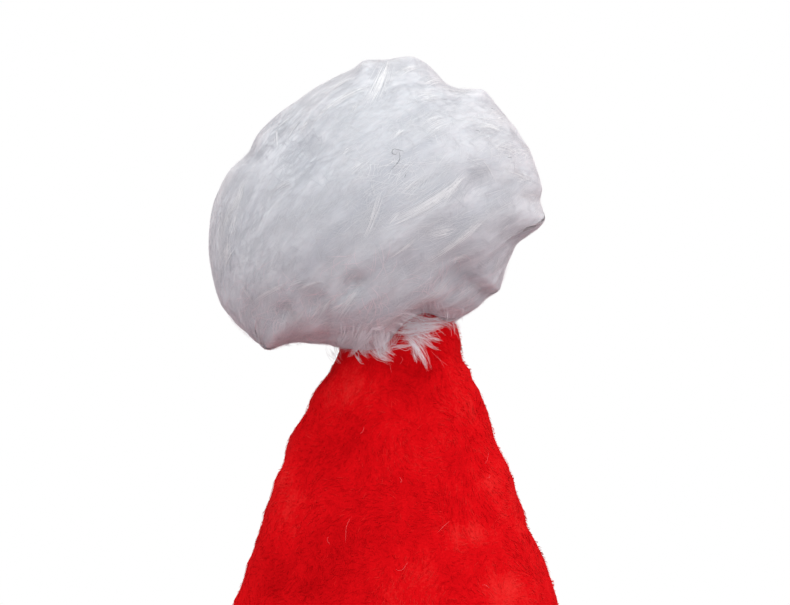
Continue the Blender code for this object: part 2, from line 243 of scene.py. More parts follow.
# The width of one strand of a tress, in mm.
FRONT_TRESS_STRAND = 0.085
POMPOM_TRESS_STRAND = 0.10
CUFF_TRESS_STRAND = 0.26

# White wisps that the pompom drops over the red in front: three places that each passes, its strands, its
# width at both ends, how far it stands off and how white it is.
Wisp = namedtuple("Wisp", "x z mid_x mid_z end_x end_z strands width end_width lift shade")
WISPS = (
    Wisp(0.6, 321.2, 4.4, 320.4, 12.4, 320.9, 110, 2.2, 0.7, 1.2, 1.0),
    Wisp(1.0, 319.6, 4.4, 319.2, 10.6, 319.6, 50, 2.0, 0.8, 1.2, 0.95),
    Wisp(-0.4, 322.9, 4.7, 322.4, 10.9, 321.4, 16, 1.2, 0.8, 1.2, 0.9),
    Wisp(5.9, 321.4, 9.5, 321.1, 14.5, 320.8, 14, 1.6, 0.9, 1.2, 0.85),
    Wisp(-1.3, 320.7, 3.5, 319.3, 11.4, 320.3, 40, 2.0, 0.6, 1.2, 0.9),
    Wisp(3.1, 320.0, 6.2, 317.4, 8.3, 315.6, 80, 2.6, 2.6, 1.2, 0.8),
    Wisp(5.9, 319.0, 9.0, 317.8, 11.4, 316.7, 16, 1.4, 0.9, 1.2, 0.85),
    Wisp(5.4, 317.1, 8.3, 315.6, 11.0, 314.3, 12, 1.6, 1.2, 1.2, 0.85),
    Wisp(1.8, 318.0, 4.9, 315.2, 7.6, 310.4, 70, 0.8, 0.7, 1.2, 0.95),
    Wisp(4.0, 315.6, 4.7, 313.2, 5.2, 311.3, 14, 0.9, 0.6, 0.8, 0.6),
    Wisp(-1.3, 314.2, 1.1, 314.9, 5.4, 315.8, 12, 0.6, 0.4, 1.0, 0.85),
    Wisp(-12.1, 319.0, -12.8, 316.6, -13.6, 314.2, 50, 1.8, 1.8, 0.6, 0.75),
    Wisp(-9.7, 320.2, -10.9, 317.1, -13.3, 314.2, 70, 2.2, 1.6, 0.8, 0.8),
    Wisp(-6.1, 320.7, -7.8, 317.1, -10.7, 313.2, 120, 2.8, 1.2, 1.0, 0.85),
    Wisp(-5.4, 317.1, -3.7, 314.2, -0.8, 312.0, 70, 1.8, 1.0, 1.0, 0.85),
    Wisp(-2.3, 319.5, -2.3, 316.1, -2.3, 313.0, 130, 3.4, 2.2, 1.0, 0.8),
    Wisp(-6.1, 319.2, -4.2, 319.4, -1.6, 320.0, 12, 0.6, 0.5, 1.2, 0.9),
    Wisp(-4.2, 315.2, -3.2, 313.2, -1.3, 312.3, 40, 1.6, 1.0, 0.9, 0.8),
    Wisp(-8.0, 316.8, -7.6, 314.6, -6.0, 312.8, 50, 2.0, 1.8, 0.8, 0.75),
    Wisp(9.2, 326.2, 10.2, 323.8, 11.4, 321.6, 18, 1.8, 1.2, 0.8, 0.75),
    Wisp(13.0, 325.0, 13.1, 322.6, 13.2, 320.6, 24, 2.4, 2.0, 0.8, 0.75),
    Wisp(5.6, 326.4, 6.4, 323.8, 7.2, 321.4, 24, 2.8, 2.0, 0.8, 0.7),
    Wisp(-14.5, 316.0, -13.9, 313.6, -12.6, 311.8, 16, 1.2, 0.9, 0.6, 0.7),
    Wisp(-9.6, 314.6, -9.0, 312.4, -7.4, 311.0, 12, 0.9, 0.6, 0.6, 0.7),
)
WISP_POINTS = 8
WISP_STRAND = 0.055  # the width of one strand, in mm
# A strand of the fringe that would leap further than this between two of its points is left out.
LEAP = 2.6 * MM
FRINGE_STRANDS = 500

# Loose curled fibres caught in the pile: where they start and their length in mm, how many turns they make,
# the way that they set out, in degrees, and whether they are dark or pale.
LooseFibre = namedtuple("LooseFibre", "x z length turns heading dark")
LOOSE_FIBRES = (
    LooseFibre(0.5, 361.6, 5.6, -0.80, 275, True),
    LooseFibre(0.6, 361.8, 5.8, -0.22, 305, True),
    LooseFibre(2.6, 356.4, 1.1, 0.0, 245, True),
    LooseFibre(23.4, 371.0, 1.4, 0.1, 120, True),
    LooseFibre(19.8, 365.8, 1.6, 0.2, 100, True),
    LooseFibre(26.0, 360.5, 1.8, 0.2, 300, True),
    LooseFibre(-41.4, 346.6, 1.0, 0.1, 20, True),
    LooseFibre(-10.0, 274.4, 7.0, 0.11, 228, False),
    LooseFibre(-15.6, 269.4, 2.4, 0.25, 215, False),
    LooseFibre(13.2, 273.1, 4.2, 0.04, 212, False),
    LooseFibre(21.9, 290.0, 3.5, -0.10, 285, False),
    LooseFibre(22.2, 284.2, 1.6, -0.40, 340, False),
    LooseFibre(1.0, 282.4, 1.8, 0.40, 340, False),
    LooseFibre(-8.4, 294.0, 2.2, 0.15, 20, False),
    LooseFibre(0.0, 261.8, 4.4, 0.30, 310, False),
    LooseFibre(20.6, 257.6, 2.2, -0.20, 30, False),
    LooseFibre(8.2, 314.4, 6.0, 0.05, 303, False),
    LooseFibre(9.6, 313.0, 4.0, -0.03, 310, False),
    LooseFibre(-5.6, 313.0, 5.0, 0.80, 250, False),
    LooseFibre(-1.2, 312.2, 3.6, 0.06, 262, False),
    LooseFibre(1.0, 312.4, 2.6, -0.40, 20, False),
    LooseFibre(-9.4, 313.4, 3.6, 0.60, 230, False),
)
FIBRE_POINTS = 24

# Patches in front that are made paler, or darker where more is below 0: their middle and reach in mm. On
# the fur they are painted light and painted shade, laid on where the ball looks lit or shaded.
Patch = namedtuple("Patch", "x z width height more")
FUR_PAINTED_LIGHT = (
    Patch(-26.0, 363.0, 10.0, 9.0, -0.60),
    Patch(-38.0, 346.0, 8.0, 13.0, -0.20),
    Patch(-14.0, 352.5, 7.0, 4.5, -0.22),
    Patch(-24.0, 335.5, 9.0, 4.0, -0.20),
    Patch(-3.0, 357.0, 8.0, 5.0, 0.28),
    Patch(2.0, 352.0, 6.0, 3.5, 0.12),
    Patch(16.5, 351.5, 8.0, 5.0, -0.30),
    Patch(4.8, 363.0, 4.0, 2.2, -0.30),
    Patch(17.5, 373.6, 7.0, 1.1, -0.30),
    Patch(24.0, 369.8, 8.0, 1.8, 0.30),
    Patch(26.0, 366.0, 8.0, 1.1, -0.35),
    Patch(29.0, 361.5, 7.0, 2.2, 0.35),
    Patch(31.5, 354.4, 5.0, 1.0, -0.40),
    Patch(33.0, 350.5, 5.0, 2.5, 0.30),
    Patch(35.5, 344.0, 4.0, 3.5, 0.45),
    Patch(17.0, 331.0, 5.5, 4.5, -0.22),
    Patch(-3.0, 380.0, 16.0, 6.0, -0.25),
    Patch(-18.0, 320.5, 10.0, 4.0, 0.30),
    Patch(1.0, 343.0, 8.0, 4.0, 0.10),
)
# On the plush the patches are partly the pile's own mottling and partly painted light and shade: the darker
# ones paint shade, as in the fold low on the left, and the paler ones on the right paint light and sheen
# from that side.
PLUSH_PATCHES = (
    Patch(-11.0, 306.0, 7.0, 8.0, 0.26),
    Patch(-31.0, 283.0, 6.0, 10.0, 0.34),
    Patch(-24.0, 268.0, 6.0, 6.0, 0.22),
    Patch(18.0, 270.0, 5.0, 3.5, 0.40),
    Patch(27.0, 256.0, 5.0, 4.0, 0.45),
    Patch(16.0, 302.0, 6.0, 9.0, 0.22),
    Patch(24.0, 285.0, 7.0, 10.0, 0.26),
    Patch(4.0, 290.0, 14.0, 8.0, -0.02),
    Patch(2.0, 256.0, 12.0, 7.0, 0.12),
    Patch(-10.0, 297.0, 5.0, 14.0, -0.20),
    Patch(-3.0, 311.0, 9.0, 3.0, -0.22),
    Patch(-22.0, 259.0, 11.0, 9.0, -0.38),
    Patch(9.0, 308.5, 7.0, 5.0, -0.22),
    Patch(-16.0, 270.0, 7.0, 6.0, -0.12),
)

# The pile is this many times as dense above this height, and this many times as wide below it.
FINE_PILE_FROM = 235 * MM
FINE_PILE_DENSITY = 7.0
COARSE_PILE_WIDTH = 1.6

# Swirls all over the plush: their size in mm and how much they change its shade.
Swirl = namedtuple("Swirl", "size more")
PLUSH_SWIRLS = (Swirl(13, 0.16), Swirl(4, 0.14), Swirl(1.6, 0.14))

# How far the plush stands out past its cone at the left and right edges, in mm, at heights in mm.
EdgeRow = namedtuple("EdgeRow", "z left right")
CROWN_EDGES = (
    EdgeRow(246, 0.0, 0.0),
    EdgeRow(253, 0.0, 0.1),
    EdgeRow(259, -0.2, 0.6),
    EdgeRow(266, -0.4, 0.7),
    EdgeRow(270, 0.0, 0.2),
    EdgeRow(279, 0.2, 0.4),
    EdgeRow(285, 0.6, 0.8),
    EdgeRow(288, 0.2, 0.6),
    EdgeRow(294, 0.5, 0.3),
    EdgeRow(299, 0.6, 1.2),
    EdgeRow(302, 0.0, 1.0),
    EdgeRow(306, 0.0, 0.5),
    EdgeRow(309, -0.4, 0.7),
    EdgeRow(311, -1.1, -0.1),
    EdgeRow(314, -1.0, 0.0),
)

# The soft light from all round, in each colour: how strong it is from the sides, and how much more comes
# from the right, from the front and from above.
SoftLight = namedtuple("SoftLight", "channel level right front up")
SOFT_LIGHT = (
    SoftLight("Red", 0.93, 0.12, 0.26, 0.45),
    SoftLight("Green", 0.835, 0.10, 0.39, 0.555),
    SoftLight("Blue", 0.86, 0.10, 0.40, 0.52),
)
LEAST_LIGHT = 0.05  # how much of each colour comes even from the darkest side


class PlushSettings(bpy.types.PropertyGroup):
    """The red plush of the crown."""

    skin_depth: FloatProperty(
        name="Skin depth", description="How far the cloth lies under the tips of its pile",
        default=0.3 * MM, unit="LENGTH",
    )
    pile_length: FloatProperty(
        name="Pile length", description="Length of one fibre of the pile", default=2.0 * MM, unit="LENGTH"
    )
    pile_width: FloatProperty(
        name="Pile width", description="Width of one tuft of fibres", default=0.21 * MM, unit="LENGTH"
    )
    pile_count: IntProperty(name="Tufts", description="Tufts of fibres in the pile", default=27000, min=0)
    bright: FloatVectorProperty(
        name="Bright red", description="Pile that stands up to the light", default=(0.71, 0.003, 0.006),
        subtype="COLOR", size=3,
    )
    # The fluffed red is rubbed-up pile and also painted light: it colours the paler patches, partly light
    # and sheen from the right.
    fluffed_and_lit: FloatVectorProperty(
        name="Fluffed red", description="Patches where the pile is rubbed up and looks paler",
        default=(0.82, 0.024, 0.022), subtype="COLOR", size=3,
    )
    # The deep red also carries painted shade, at the roots of the pile and in the darker patches.
    deep: FloatVectorProperty(
        name="Deep red", description="Pile that lies down, and the cloth between tufts",
        default=(0.47, 0.001, 0.003), subtype="COLOR", size=3,
    )


class FurSettings(bpy.types.PropertyGroup):
    """The long white fur of the cuff and the pompom."""

    backing_depth: FloatProperty(
        name="Backing depth", description="How far the backing lies under the tips of its fur",
        default=0.5 * MM, unit="LENGTH",
    )
    # White is the fur's own colour in the light; grey, a little blue, is painted shade of fur deep in the
    # pile. Each strand's shade attribute sets it between them, at random and by the painted patches.
    white: FloatVectorProperty(
        name="White", description="Fur that catches the light", default=(0.975, 0.97, 0.98),
        subtype="COLOR", size=3,
    )
    grey: FloatVectorProperty(
        name="Grey", description="Fur deep in the pile", default=(0.56, 0.57, 0.61), subtype="COLOR", size=3
    )
    # Blush and deep blush are painted light: the white fur tinted pink for the red light from the crown,
    # lit and in painted shade.
    blush: FloatVectorProperty(
        name="Blush", description="Wisps that the red shines through, in the light",
        default=(0.97, 0.89, 0.92), subtype="COLOR", size=3,
    )
    fibre: FloatVectorProperty(
        name="Loose fibre", description="Dark fibres caught in the white fur",
        default=(0.10, 0.10, 0.12), subtype="COLOR", size=3,
    )
    # The pale fibres are white; their red is painted light, the red of the plush showing through them.
    pale_fibre: FloatVectorProperty(
        name="Pale fibre", description="Thin white fibres caught in the plush, tinted by it",
        default=(0.92, 0.16, 0.17), subtype="COLOR", size=3,
    )
    blush_grey: FloatVectorProperty(
        name="Deep blush", description="Wisps that the red shines through, in the shade",
        default=(0.68, 0.53, 0.57), subtype="COLOR", size=3,
    )


class StageSettings(bpy.types.PropertyGroup):
    """The camera, the lights and the floor."""

    lens: FloatProperty(name="Lens", description="Focal length in mm", default=100.0)
    distance: FloatProperty(
        name="Distance", description="From the camera to the hat's middle plane",
        default=-EYE[1], unit="LENGTH",
    )
    eye_height: FloatProperty(
        name="Eye height", description="Height of the level camera", default=EYE[2], unit="LENGTH"
    )
    key_power: FloatProperty(name="Key light", description="Power of the soft light, in watts", default=1.2)
    key_size: FloatProperty(
        name="Key size", description="Diameter of the soft light", default=0.9, unit="LENGTH"
    )
    key_offset: FloatVectorProperty(
        name="Key offset", description="From the place that the soft light aims at to the light",
        default=(0.55, -0.95, 0.55), subtype="TRANSLATION", size=3,
    )
    aim_height: FloatProperty(
        name="Aim height", description="Height that the soft light aims at", default=0.30, unit="LENGTH"
    )
    floor_radius: FloatProperty(
        name="Floor radius", description="Radius of the round floor", default=1.5, unit="LENGTH"
    )
    floor_colour: FloatVectorProperty(
        name="Floor", description="Colour of the floor", default=(0.28, 0.23, 0.25), subtype="COLOR", size=3
    )


def lengths_of(vectors):
    return np.linalg.norm(vectors, axis=-1, keepdims=True)


def unit(vectors):
    return vectors / np.maximum(lengths_of(vectors), 1e-12)


def across_normal(vectors, normals):
    """The part of each vector that lies in the surface, at length 1."""
    along = np.sum(vectors * normals, axis=-1, keepdims=True)
    return unit(vectors - normals * along)


def solid_copy(node):
    """A merged copy of a solid, whose own mesh is loose triangles."""
    bm = bmesh.new()
    bm.from_mesh(frame["nodes"][node].data)
    bmesh.ops.remove_doubles(bm, verts=bm.verts, dist=MERGE)
    return bm


def mesh_with(bm, name, modifiers):
    """The bmesh as a mesh, after these modifiers."""
    mesh = bpy.data.meshes.new(name)
    bm.to_mesh(mesh)
    bm.free()
    holder = bpy.data.objects.new(name, mesh)
    bpy.context.scene.collection.objects.link(holder)
    for kind, settings in modifiers:
        modifier = holder.modifiers.new(kind.lower(), kind)
        for setting, value in settings.items():
            setattr(modifier, setting, value)
    graph = bpy.context.evaluated_depsgraph_get()
    finished = bpy.data.meshes.new_from_object(holder.evaluated_get(graph))
    bpy.data.objects.remove(holder)
    finished.name = name
    return finished


def add_piece(name, mesh, material):
    """Links a finished mesh as a piece of the hat."""
    mesh.materials.clear()
    mesh.materials.append(material)
    mesh.shade_smooth()
    piece = bpy.data.objects.new(name, mesh)
    bpy.context.scene.collection.objects.link(piece)
    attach(piece, BODY)
    return piece


def vertex_arrays(mesh):
    """The mesh's points and smooth normals."""
    points = np.empty(len(mesh.vertices) * 3)
    normals = np.empty(len(mesh.vertices) * 3)
    mesh.vertices.foreach_get("co", points)
    mesh.vertices.foreach_get("normal", normals)
    return points.reshape(-1, 3), normals.reshape(-1, 3)


def noise_at(points, scale, seed=0.0):
    """Smooth noise from -1 to 1 at each point, with features of about this size."""
    shift = Vector((seed, seed * 1.7, -seed))
    return np.array([noise.noise(Vector(point) / scale + shift) for point in points])


def scatter(mesh, count, seed, weigh):
    """Random places on a mesh with their normals. weigh says how dense they are at each triangle."""
    points, normals = vertex_arrays(mesh)
    mesh.calc_loop_triangles()
    corners = np.empty(len(mesh.loop_triangles) * 3, np.int32)
    areas = np.empty(len(mesh.loop_triangles))
    mesh.loop_triangles.foreach_get("vertices", corners)
    mesh.loop_triangles.foreach_get("area", areas)
    corners = corners.reshape(-1, 3)
    weights = areas * weigh(points[corners].mean(axis=1), unit(normals[corners].mean(axis=1)))
    chance = np.random.default_rng(seed)
    chosen = corners[chance.choice(len(corners), size=count, p=weights / weights.sum())]
    u, v = chance.random((2, count, 1))
    over = u + v > 1
    u, v = np.where(over, 1 - u, u), np.where(over, 1 - v, v)
    shares = np.stack((1 - u - v, u, v), axis=1)
    return (points[chosen] * shares).sum(axis=1), unit((normals[chosen] * shares).sum(axis=1))


class Surface:
    """The meshes that strands are laid on."""

    def __init__(self, meshes):
        self.corners = []
        points, normals = [], []
        for mesh in meshes:
            start = sum(map(len, points))
            for column, values in zip((points, normals), vertex_arrays(mesh)):
                column.append(values)
            mesh.calc_loop_triangles()
            self.corners += [tuple(start + v for v in t.vertices) for t in mesh.loop_triangles]
        self.points, self.normals = np.concatenate(points), np.concatenate(normals)
        self.tree = BVHTree.FromPolygons([Vector(point) for point in self.points], self.corners)

    def nearest(self, places):
        """The surface's nearest point to each place, and its smooth normal there."""
        found = np.empty_like(places)
        index = np.empty(len(places), np.int64)
        for k, place in enumerate(places):
            point, _, index[k], _ = self.tree.find_nearest(Vector(place))
            found[k] = point
        near = np.array(self.corners)[index]
        gaps = lengths_of(self.points[near] - found[:, None]) + MERGE
        return found, unit((self.normals[near] / gaps).sum(axis=1))

    def seen_from(self, starts, headings, reach):
        """Where rays first meet the surface, or its nearest point to where they have gone that far."""
        hits = []
        for start, heading in zip(starts, headings):
            hit = self.tree.ray_cast(Vector(start), Vector(heading))
            if hit[0] is None:
                hit = self.tree.find_nearest(Vector(start + heading * reach))
            hits.append((hit[0], hit[1]))
        return tuple(np.array(column) for column in zip(*hits))


STRAND_HEIGHT = 0.2  # how thick a strand is for its width
STRAND_ROUNDNESS = 0.25  # how far a strand's own form bends the light that its fur takes


def strand_mesh(name, paths, outward, widths, shades):
    """One mesh of closed three-sided strands, pointed at both ends and lit as the fur that they lie on.

    paths and outward are strands x points x 3, widths one for each strand, shades strands x points.
    """
    count, points = paths.shape[:2]
    rings = points - 2
    tangent = unit(np.gradient(paths, axis=1))[:, 1:-1]
    side = unit(np.cross(outward[:, 1:-1], tangent))
    up = np.cross(tangent, side)
    fullness = np.sin(np.linspace(0, np.pi, points)[1:-1]) ** 0.5
    radius = (widths[:, None] / 2 * fullness)[:, :, None, None]
    turn = np.radians((90, 210, 330))[:, None]
    corner = np.cos(turn) * side[:, :, None] + np.sin(turn) * STRAND_HEIGHT * up[:, :, None]
    around = (paths[:, 1:-1, None] + radius * corner).reshape(count, rings * 3, 3)
    vertices = np.concatenate((paths[:, :1], around, paths[:, -1:]), axis=1)
    lit = unit(outward[:, 1:-1, None] + corner * STRAND_ROUNDNESS).reshape(count, rings * 3, 3)
    above = np.concatenate((outward[:, :1], lit, outward[:, -1:]), axis=1)
    middle = np.repeat(outward[:, 1:-1], 3, axis=1)
    below = -np.concatenate((outward[:, :1], middle, outward[:, -1:]), axis=1)
    last = 1 + 3 * rings
    faces = []
    under = []
    for c in range(3):
        d = (c + 1) % 3
        faces.append((0, 1 + d, 1 + c))
        faces.append((last, last - 3 + c, last - 3 + d))
        for ring in range(rings - 1):
            low, high = 1 + 3 * ring, 4 + 3 * ring
            faces += [(low + c, low + d, high + d), (low + c, high + d, high + c)]
        under += [c == 1] * (len(faces) - len(under))
    starts = np.arange(count)[:, None, None] * vertices.shape[1]
    triangles = (np.array(faces)[None] + starts).reshape(-1, 3)
    shade = np.concatenate(
        (shades[:, :1], np.repeat(shades[:, 1:-1], 3, axis=1), shades[:, -1:]), axis=1
    )
    mesh = bpy.data.meshes.new(name)
    mesh.vertices.add(count * vertices.shape[1])
    mesh.vertices.foreach_set("co", vertices.astype(np.float32).ravel())
    mesh.loops.add(triangles.size)
    mesh.loops.foreach_set("vertex_index", triangles.astype(np.int32).ravel())
    mesh.polygons.add(len(triangles))
    mesh.polygons.foreach_set("loop_start", np.arange(0, triangles.size, 3, dtype=np.int32))
    mesh.update(calc_edges=True)
    write_shades(mesh, shade)
    mesh.shade_smooth()
    lower = np.array(under)[None, :, None, None]
    normals = np.where(lower, below[:, np.array(faces)], above[:, np.array(faces)])
    mesh.normals_split_custom_set(normals.reshape(-1, 3))
    return mesh


def comb_over(surface, places, flow, lengths, lifts, turns, sway):
    """Paths of strands laid over a surface from these places, along a flow, at these lifts off it."""
    steps = lifts.shape[1] - 1
    paths = []
    outward = []
    for k in range(steps + 1):
        places, normals = surface.nearest(places)
        paths.append(places + normals * lifts[:, k : k + 1])
        outward.append(normals)
        along = flow(places, normals)
        angle = (turns + sway * k / steps)[:, None]
        along = along * np.cos(angle) + np.cross(normals, along) * np.sin(angle)
        places = places + along * (lengths / steps)[:, None]
    return np.stack(paths, axis=1), np.stack(outward, axis=1)


def nearest_group(places, centres):
    """For each place, which centre is nearest."""
    chunks = [places[k : k + 1000] for k in range(0, len(places), 1000)]
    return np.concatenate([lengths_of(c[:, None] - centres)[:, :, 0].argmin(axis=1) for c in chunks])


class Coat:
    """What fur is laid on: pieces, the way that the fur is combed, and where it grows."""

    def __init__(self, backings, flow=None, streaks=None, weigh=None, calm=None, lowest=-1.0):
        self.mesh = bpy.data.objects[backings[0]].data
        self.surface = Surface([bpy.data.objects[name].data for name in backings])
        self.flow, self.streaks, self.weigh, self.lowest = flow, streaks, weigh, lowest
        self.calm = calm or (lambda places: np.zeros(len(places)))

    def shades(self, places, middle, spread, chance):
        """How white each strand is: alike along the combing, and a little unlike its neighbours."""
        broad = noise_at(self.streaks(places), 3.0 * MM)
        fine = noise_at(self.streaks(places), 1.1 * MM, 4.0)
        liveliness = 1 - 0.6 * self.calm(places)
        unlike = spread * (0.6 * broad + 0.4 * fine) + chance.normal(0, 0.14, len(places))
        return middle + liveliness * unlike


def lay_fur(coat, layer, material):
    """Makes one layer of fur on a backing, gathered into locks."""
    chance = np.random.default_rng(layer.seed)
    roots, _ = scatter(coat.mesh, layer.strands, layer.seed, coat.weigh)
    centres, _ = scatter(coat.mesh, layer.locks, layer.seed + 100, coat.weigh)
    group = nearest_group(roots, centres)
    share = np.linspace(0, 1, STRAND_POINTS)

    lock_turn = chance.normal(0, layer.turn, layer.locks)
    lock_sway = chance.normal(0, layer.sway * 0.5, layer.locks)
    lock_height = chance.uniform(0.45, 1.0, layer.locks)
    lock_length = chance.uniform(0.75, 1.15, layer.locks)

    def lifts_of(heights):
        rise = layer.root_lift + (layer.tip_lift - layer.root_lift) * share[None] ** 0.8
        return np.where(share[None] > 0, rise * heights[:, None], rise) * MM

    lengths = layer.length * MM * lock_length
    guides, _ = comb_over(
        coat.surface, centres, coat.flow, lengths, lifts_of(lock_height), lock_turn, lock_sway
    )
    own_height = lock_height[group] * chance.uniform(0.7, 1.1, layer.strands)
    own_length = lengths[group] * chance.uniform(0.7, 1.1, layer.strands)
    stray = layer.turn * 0.6 + 0.5 * coat.calm(roots)
    own_turn = lock_turn[group] + chance.normal(0, 1, layer.strands) * stray
    own_sway = lock_sway[group] + chance.normal(0, 0.10, layer.strands)
    paths, outward = comb_over(
        coat.surface, roots, coat.flow, own_length, lifts_of(own_height), own_turn, own_sway
    )
    pull = layer.pull * chance.uniform(0.6, 1.2, (layer.strands, 1, 1)) * share[None, :, None] ** 1.5
    paths += (guides[group] - paths) * pull
    paths[:, :, 2] = np.maximum(paths[:, :, 2], coat.lowest)

    widths = layer.width * MM * chance.uniform(0.7, 1.25, layer.strands)
    # The fur patches add painted light and painted shade to the strands in front.
    shades = coat.shades(roots, layer.shade, 0.30, chance) + patched(FUR_PAINTED_LIGHT, paths.mean(axis=1))
    # Strands are a little darker at the root and paler at the tip: painted shade deep in the fur.
    shades = np.clip(shades[:, None] + 0.06 * (share[None] - 0.5), 0, 1)
    mesh = strand_mesh(layer.name, paths, outward, widths, shades)
    return add_piece(layer.name, mesh, material)


def tress_strands(coat, guide, outward, tress, chance):
    """The strands of one tress, side by side along its middle line. Returns paths, outward and shades."""
    size = (tress.strands, 1)
    share = np.linspace(0, 1, TRESS_POINTS)[None]
    first = chance.uniform(0, 0.5, size)
    along = first + (chance.uniform(0.65, 1.0, size) - first) * share
    steps = np.linspace(0, 1, len(guide))
    side = unit(np.cross(np.gradient(guide, axis=0), outward))

    def read(column):
        return np.stack([np.interp(along, steps, column[:, axis]) for axis in range(3)], axis=2)

    place = chance.normal(0, 0.6, size)
    width = tress.width + (tress.end_width - tress.width) * along
    sway = chance.normal(0, 0.12, size) * np.sin(np.pi * along * chance.uniform(0.8, 1.6, size))
    across = (place * width + sway * (tress.width + 0.6)) * MM
    places = read(guide) + read(side) * across[:, :, None]
    found, normals = coat.surface.nearest(places.reshape(-1, 3))
    rise = tress.lift * MM * chance.uniform(0.1, 1.0, size) * np.sin(np.pi * (0.05 + 0.85 * share))
    paths = found.reshape(places.shape) + normals.reshape(places.shape) * rise[:, :, None]
    paths[:, :, 2] = np.maximum(paths[:, :, 2], coat.lowest)
    edge = np.minimum(np.abs(place), 1) * 0.3
    shades = np.clip(tress.shade - edge + chance.normal(0, 0.10, size) + 0 * share, 0, 1)
    return paths, normals.reshape(places.shape), shades


def lay_tresses(coat, name, guides, outward, tresses, width, material, seed):
    """Makes one mesh of tresses that follow these middle lines."""
    chance = np.random.default_rng(seed)
    laid = [tress_strands(coat, *each, chance) for each in zip(guides, outward, tresses)]
    paths, normals, shades = (np.concatenate(column) for column in zip(*laid))
    widths = width * MM * chance.uniform(0.7, 1.25, len(paths))
    mesh = strand_mesh(name, paths, normals, widths, shades)
    return add_piece(name, mesh, material)


def sight_lines(x, z):
    """From the eye, a step for each place in the front view that ends on the hat's middle plane."""
    return np.stack((x - EYE[0], np.full_like(x, -EYE[1]), z - EYE[2]), axis=-1)


def in_front_view(places):
    """Where each place shows in the front view."""
    return EYE + (places - EYE) * (EYE[1] / (EYE[1] - places[:, 1]))[:, None]


def met_in_front(surface, steps):
    """Where sight lines first meet a surface, and its normals there."""
    lines = steps.reshape(-1, 3)
    hits, normals = surface.seen_from(np.broadcast_to(EYE, lines.shape), unit(lines), -EYE[1])
    return hits.reshape(steps.shape), normals.reshape(steps.shape)


def seen_guides(coat, tresses):
    """The middle lines of tresses that are placed as seen from the front."""
    share = np.linspace(-0.2, 1.15, GUIDE_POINTS)
    ends = np.array([(t.x, t.z, t.end_x, t.end_z, t.bow) for t in tresses])[:, :, None] * MM
    bow = ends[:, 4] * 4 * share * (1 - share)
    x = ends[:, 0] + (ends[:, 2] - ends[:, 0]) * share - bow * 0.4
    z = ends[:, 1] + (ends[:, 3] - ends[:, 1]) * share + bow
    return met_in_front(coat.surface, sight_lines(x, z))


def ruled_tresses(coat, rule, weigh):
    """Tresses that a rule lays along the combing, with their middle lines."""
    chance = np.random.default_rng(rule.seed)
    roots, _ = scatter(coat.mesh, rule.count, rule.seed, weigh)
    lengths = rule.length * MM * chance.uniform(0.6, 1.3, rule.count)
    lifts = np.zeros((rule.count, GUIDE_POINTS))
    turns = chance.normal(0, rule.turn, rule.count)
    sway = chance.normal(0, rule.turn * 1.5, rule.count)
    guides, outward = comb_over(coat.surface, roots, coat.flow, lengths, lifts, turns, sway)
    sizes = chance.uniform(0.5, 1.4, rule.count)
    whites = chance.normal(rule.shade, 0.08, rule.count)
    tresses = [
        Tress(0, 0, 0, 0, 0, rule.strands, rule.width * size, rule.end_width * size, rule.lift, white)
        for size, white in zip(sizes, whites)
    ]
    return guides, outward, tresses


def pompom_outline(angles):
    """The outline's distance from the pompom's centre at angles in degrees, rounded over a few degrees."""
    rows = sorted(POMPOM_OUTLINE)
    table = [row.angle for row in rows], [row.radius for row in rows]
    return np.mean([np.interp(angles + turn, *table, period=360) for turn in (-0.8, 0, 0.8)], axis=0) * MM


def pompom_directions(places):
    return unit(places - POMPOM_CENTRE)


def pompom_flow(places, normals):
    """The way that the pompom is combed: away from the comb's start and towards its end."""
    direction = pompom_directions(places)
    from_start = direction - COMB_START
    from_end = direction - COMB_END
    flow = from_start / (from_start**2).sum(axis=1, keepdims=True)
    flow -= from_end / (from_end**2).sum(axis=1, keepdims=True)
    return across_normal(flow, normals)


def pompom_streaks(places):
    """Coordinates that change slowly along the combing and fast across it, in metres."""
    direction = pompom_directions(places)
    side = unit(np.cross(COMB_END, UP))
    top = np.cross(side, COMB_END)

    def flattened(vectors):
        spread = np.stack((vectors @ side, vectors @ top), axis=-1)
        return spread / np.maximum(1 - vectors @ COMB_END, 0.002)[..., None]

    plane = flattened(direction) - flattened(COMB_START)
    reach = lengths_of(plane) + 1e-4
    return np.hstack((plane / reach * 36 * MM, np.log(reach) * 7 * MM))


def pompom_calm(places):
    """1 on the left of the ball, where the fur is matted like cotton, and 0 where it lies combed."""
    return 1 - eased(places[:, 0], -10 * MM, 14 * MM)


def cuff_flow(places, normals):
    """The way that the cuff's fur hangs: down, and a little round the rim."""
    round_rim = np.cross(UP, normals)
    swing = 0.25 + 0.35 * np.sin(np.arctan2(places[:, 1], places[:, 0]) * 5)[:, None]
    return across_normal(-UP + round_rim * swing, normals)


def cuff_streaks(places):
    """Coordinates that change slowly down the cuff and fast round it, in metres."""
    angle = np.arctan2(places[:, 1], places[:, 0])
    radius = 95 * MM
    return np.column_stack((np.cos(angle) * radius, np.sin(angle) * radius, places[:, 2] * 0.25))


def outside_of_cuff(places, normals):
    """1 on the band's outer face, which the fur grows on, and 0 on its fold and hem."""
    plan = unit(places * (1, 1, 0))
    outer = (normals * plan).sum(axis=1) > 0.12
    above = normals[:, 2] > 0.3
    return ((outer | above) & (normals[:, 2] > -0.75)).astype(float)


def new_material(name, roughness, sheen, specular=0.3):
    """A material, its node tree and its shader."""
    material = bpy.data.materials.new(name)
    material.use_nodes = True
    shader = material.node_tree.nodes["Principled BSDF"]
    shader.inputs["Roughness"].default_value = roughness
    shader.inputs["Metallic"].default_value = 0.0
    shader.inputs["Specular IOR Level"].default_value = specular
    shader.inputs["Sheen Weight"].default_value = sheen
    return material, material.node_tree, shader


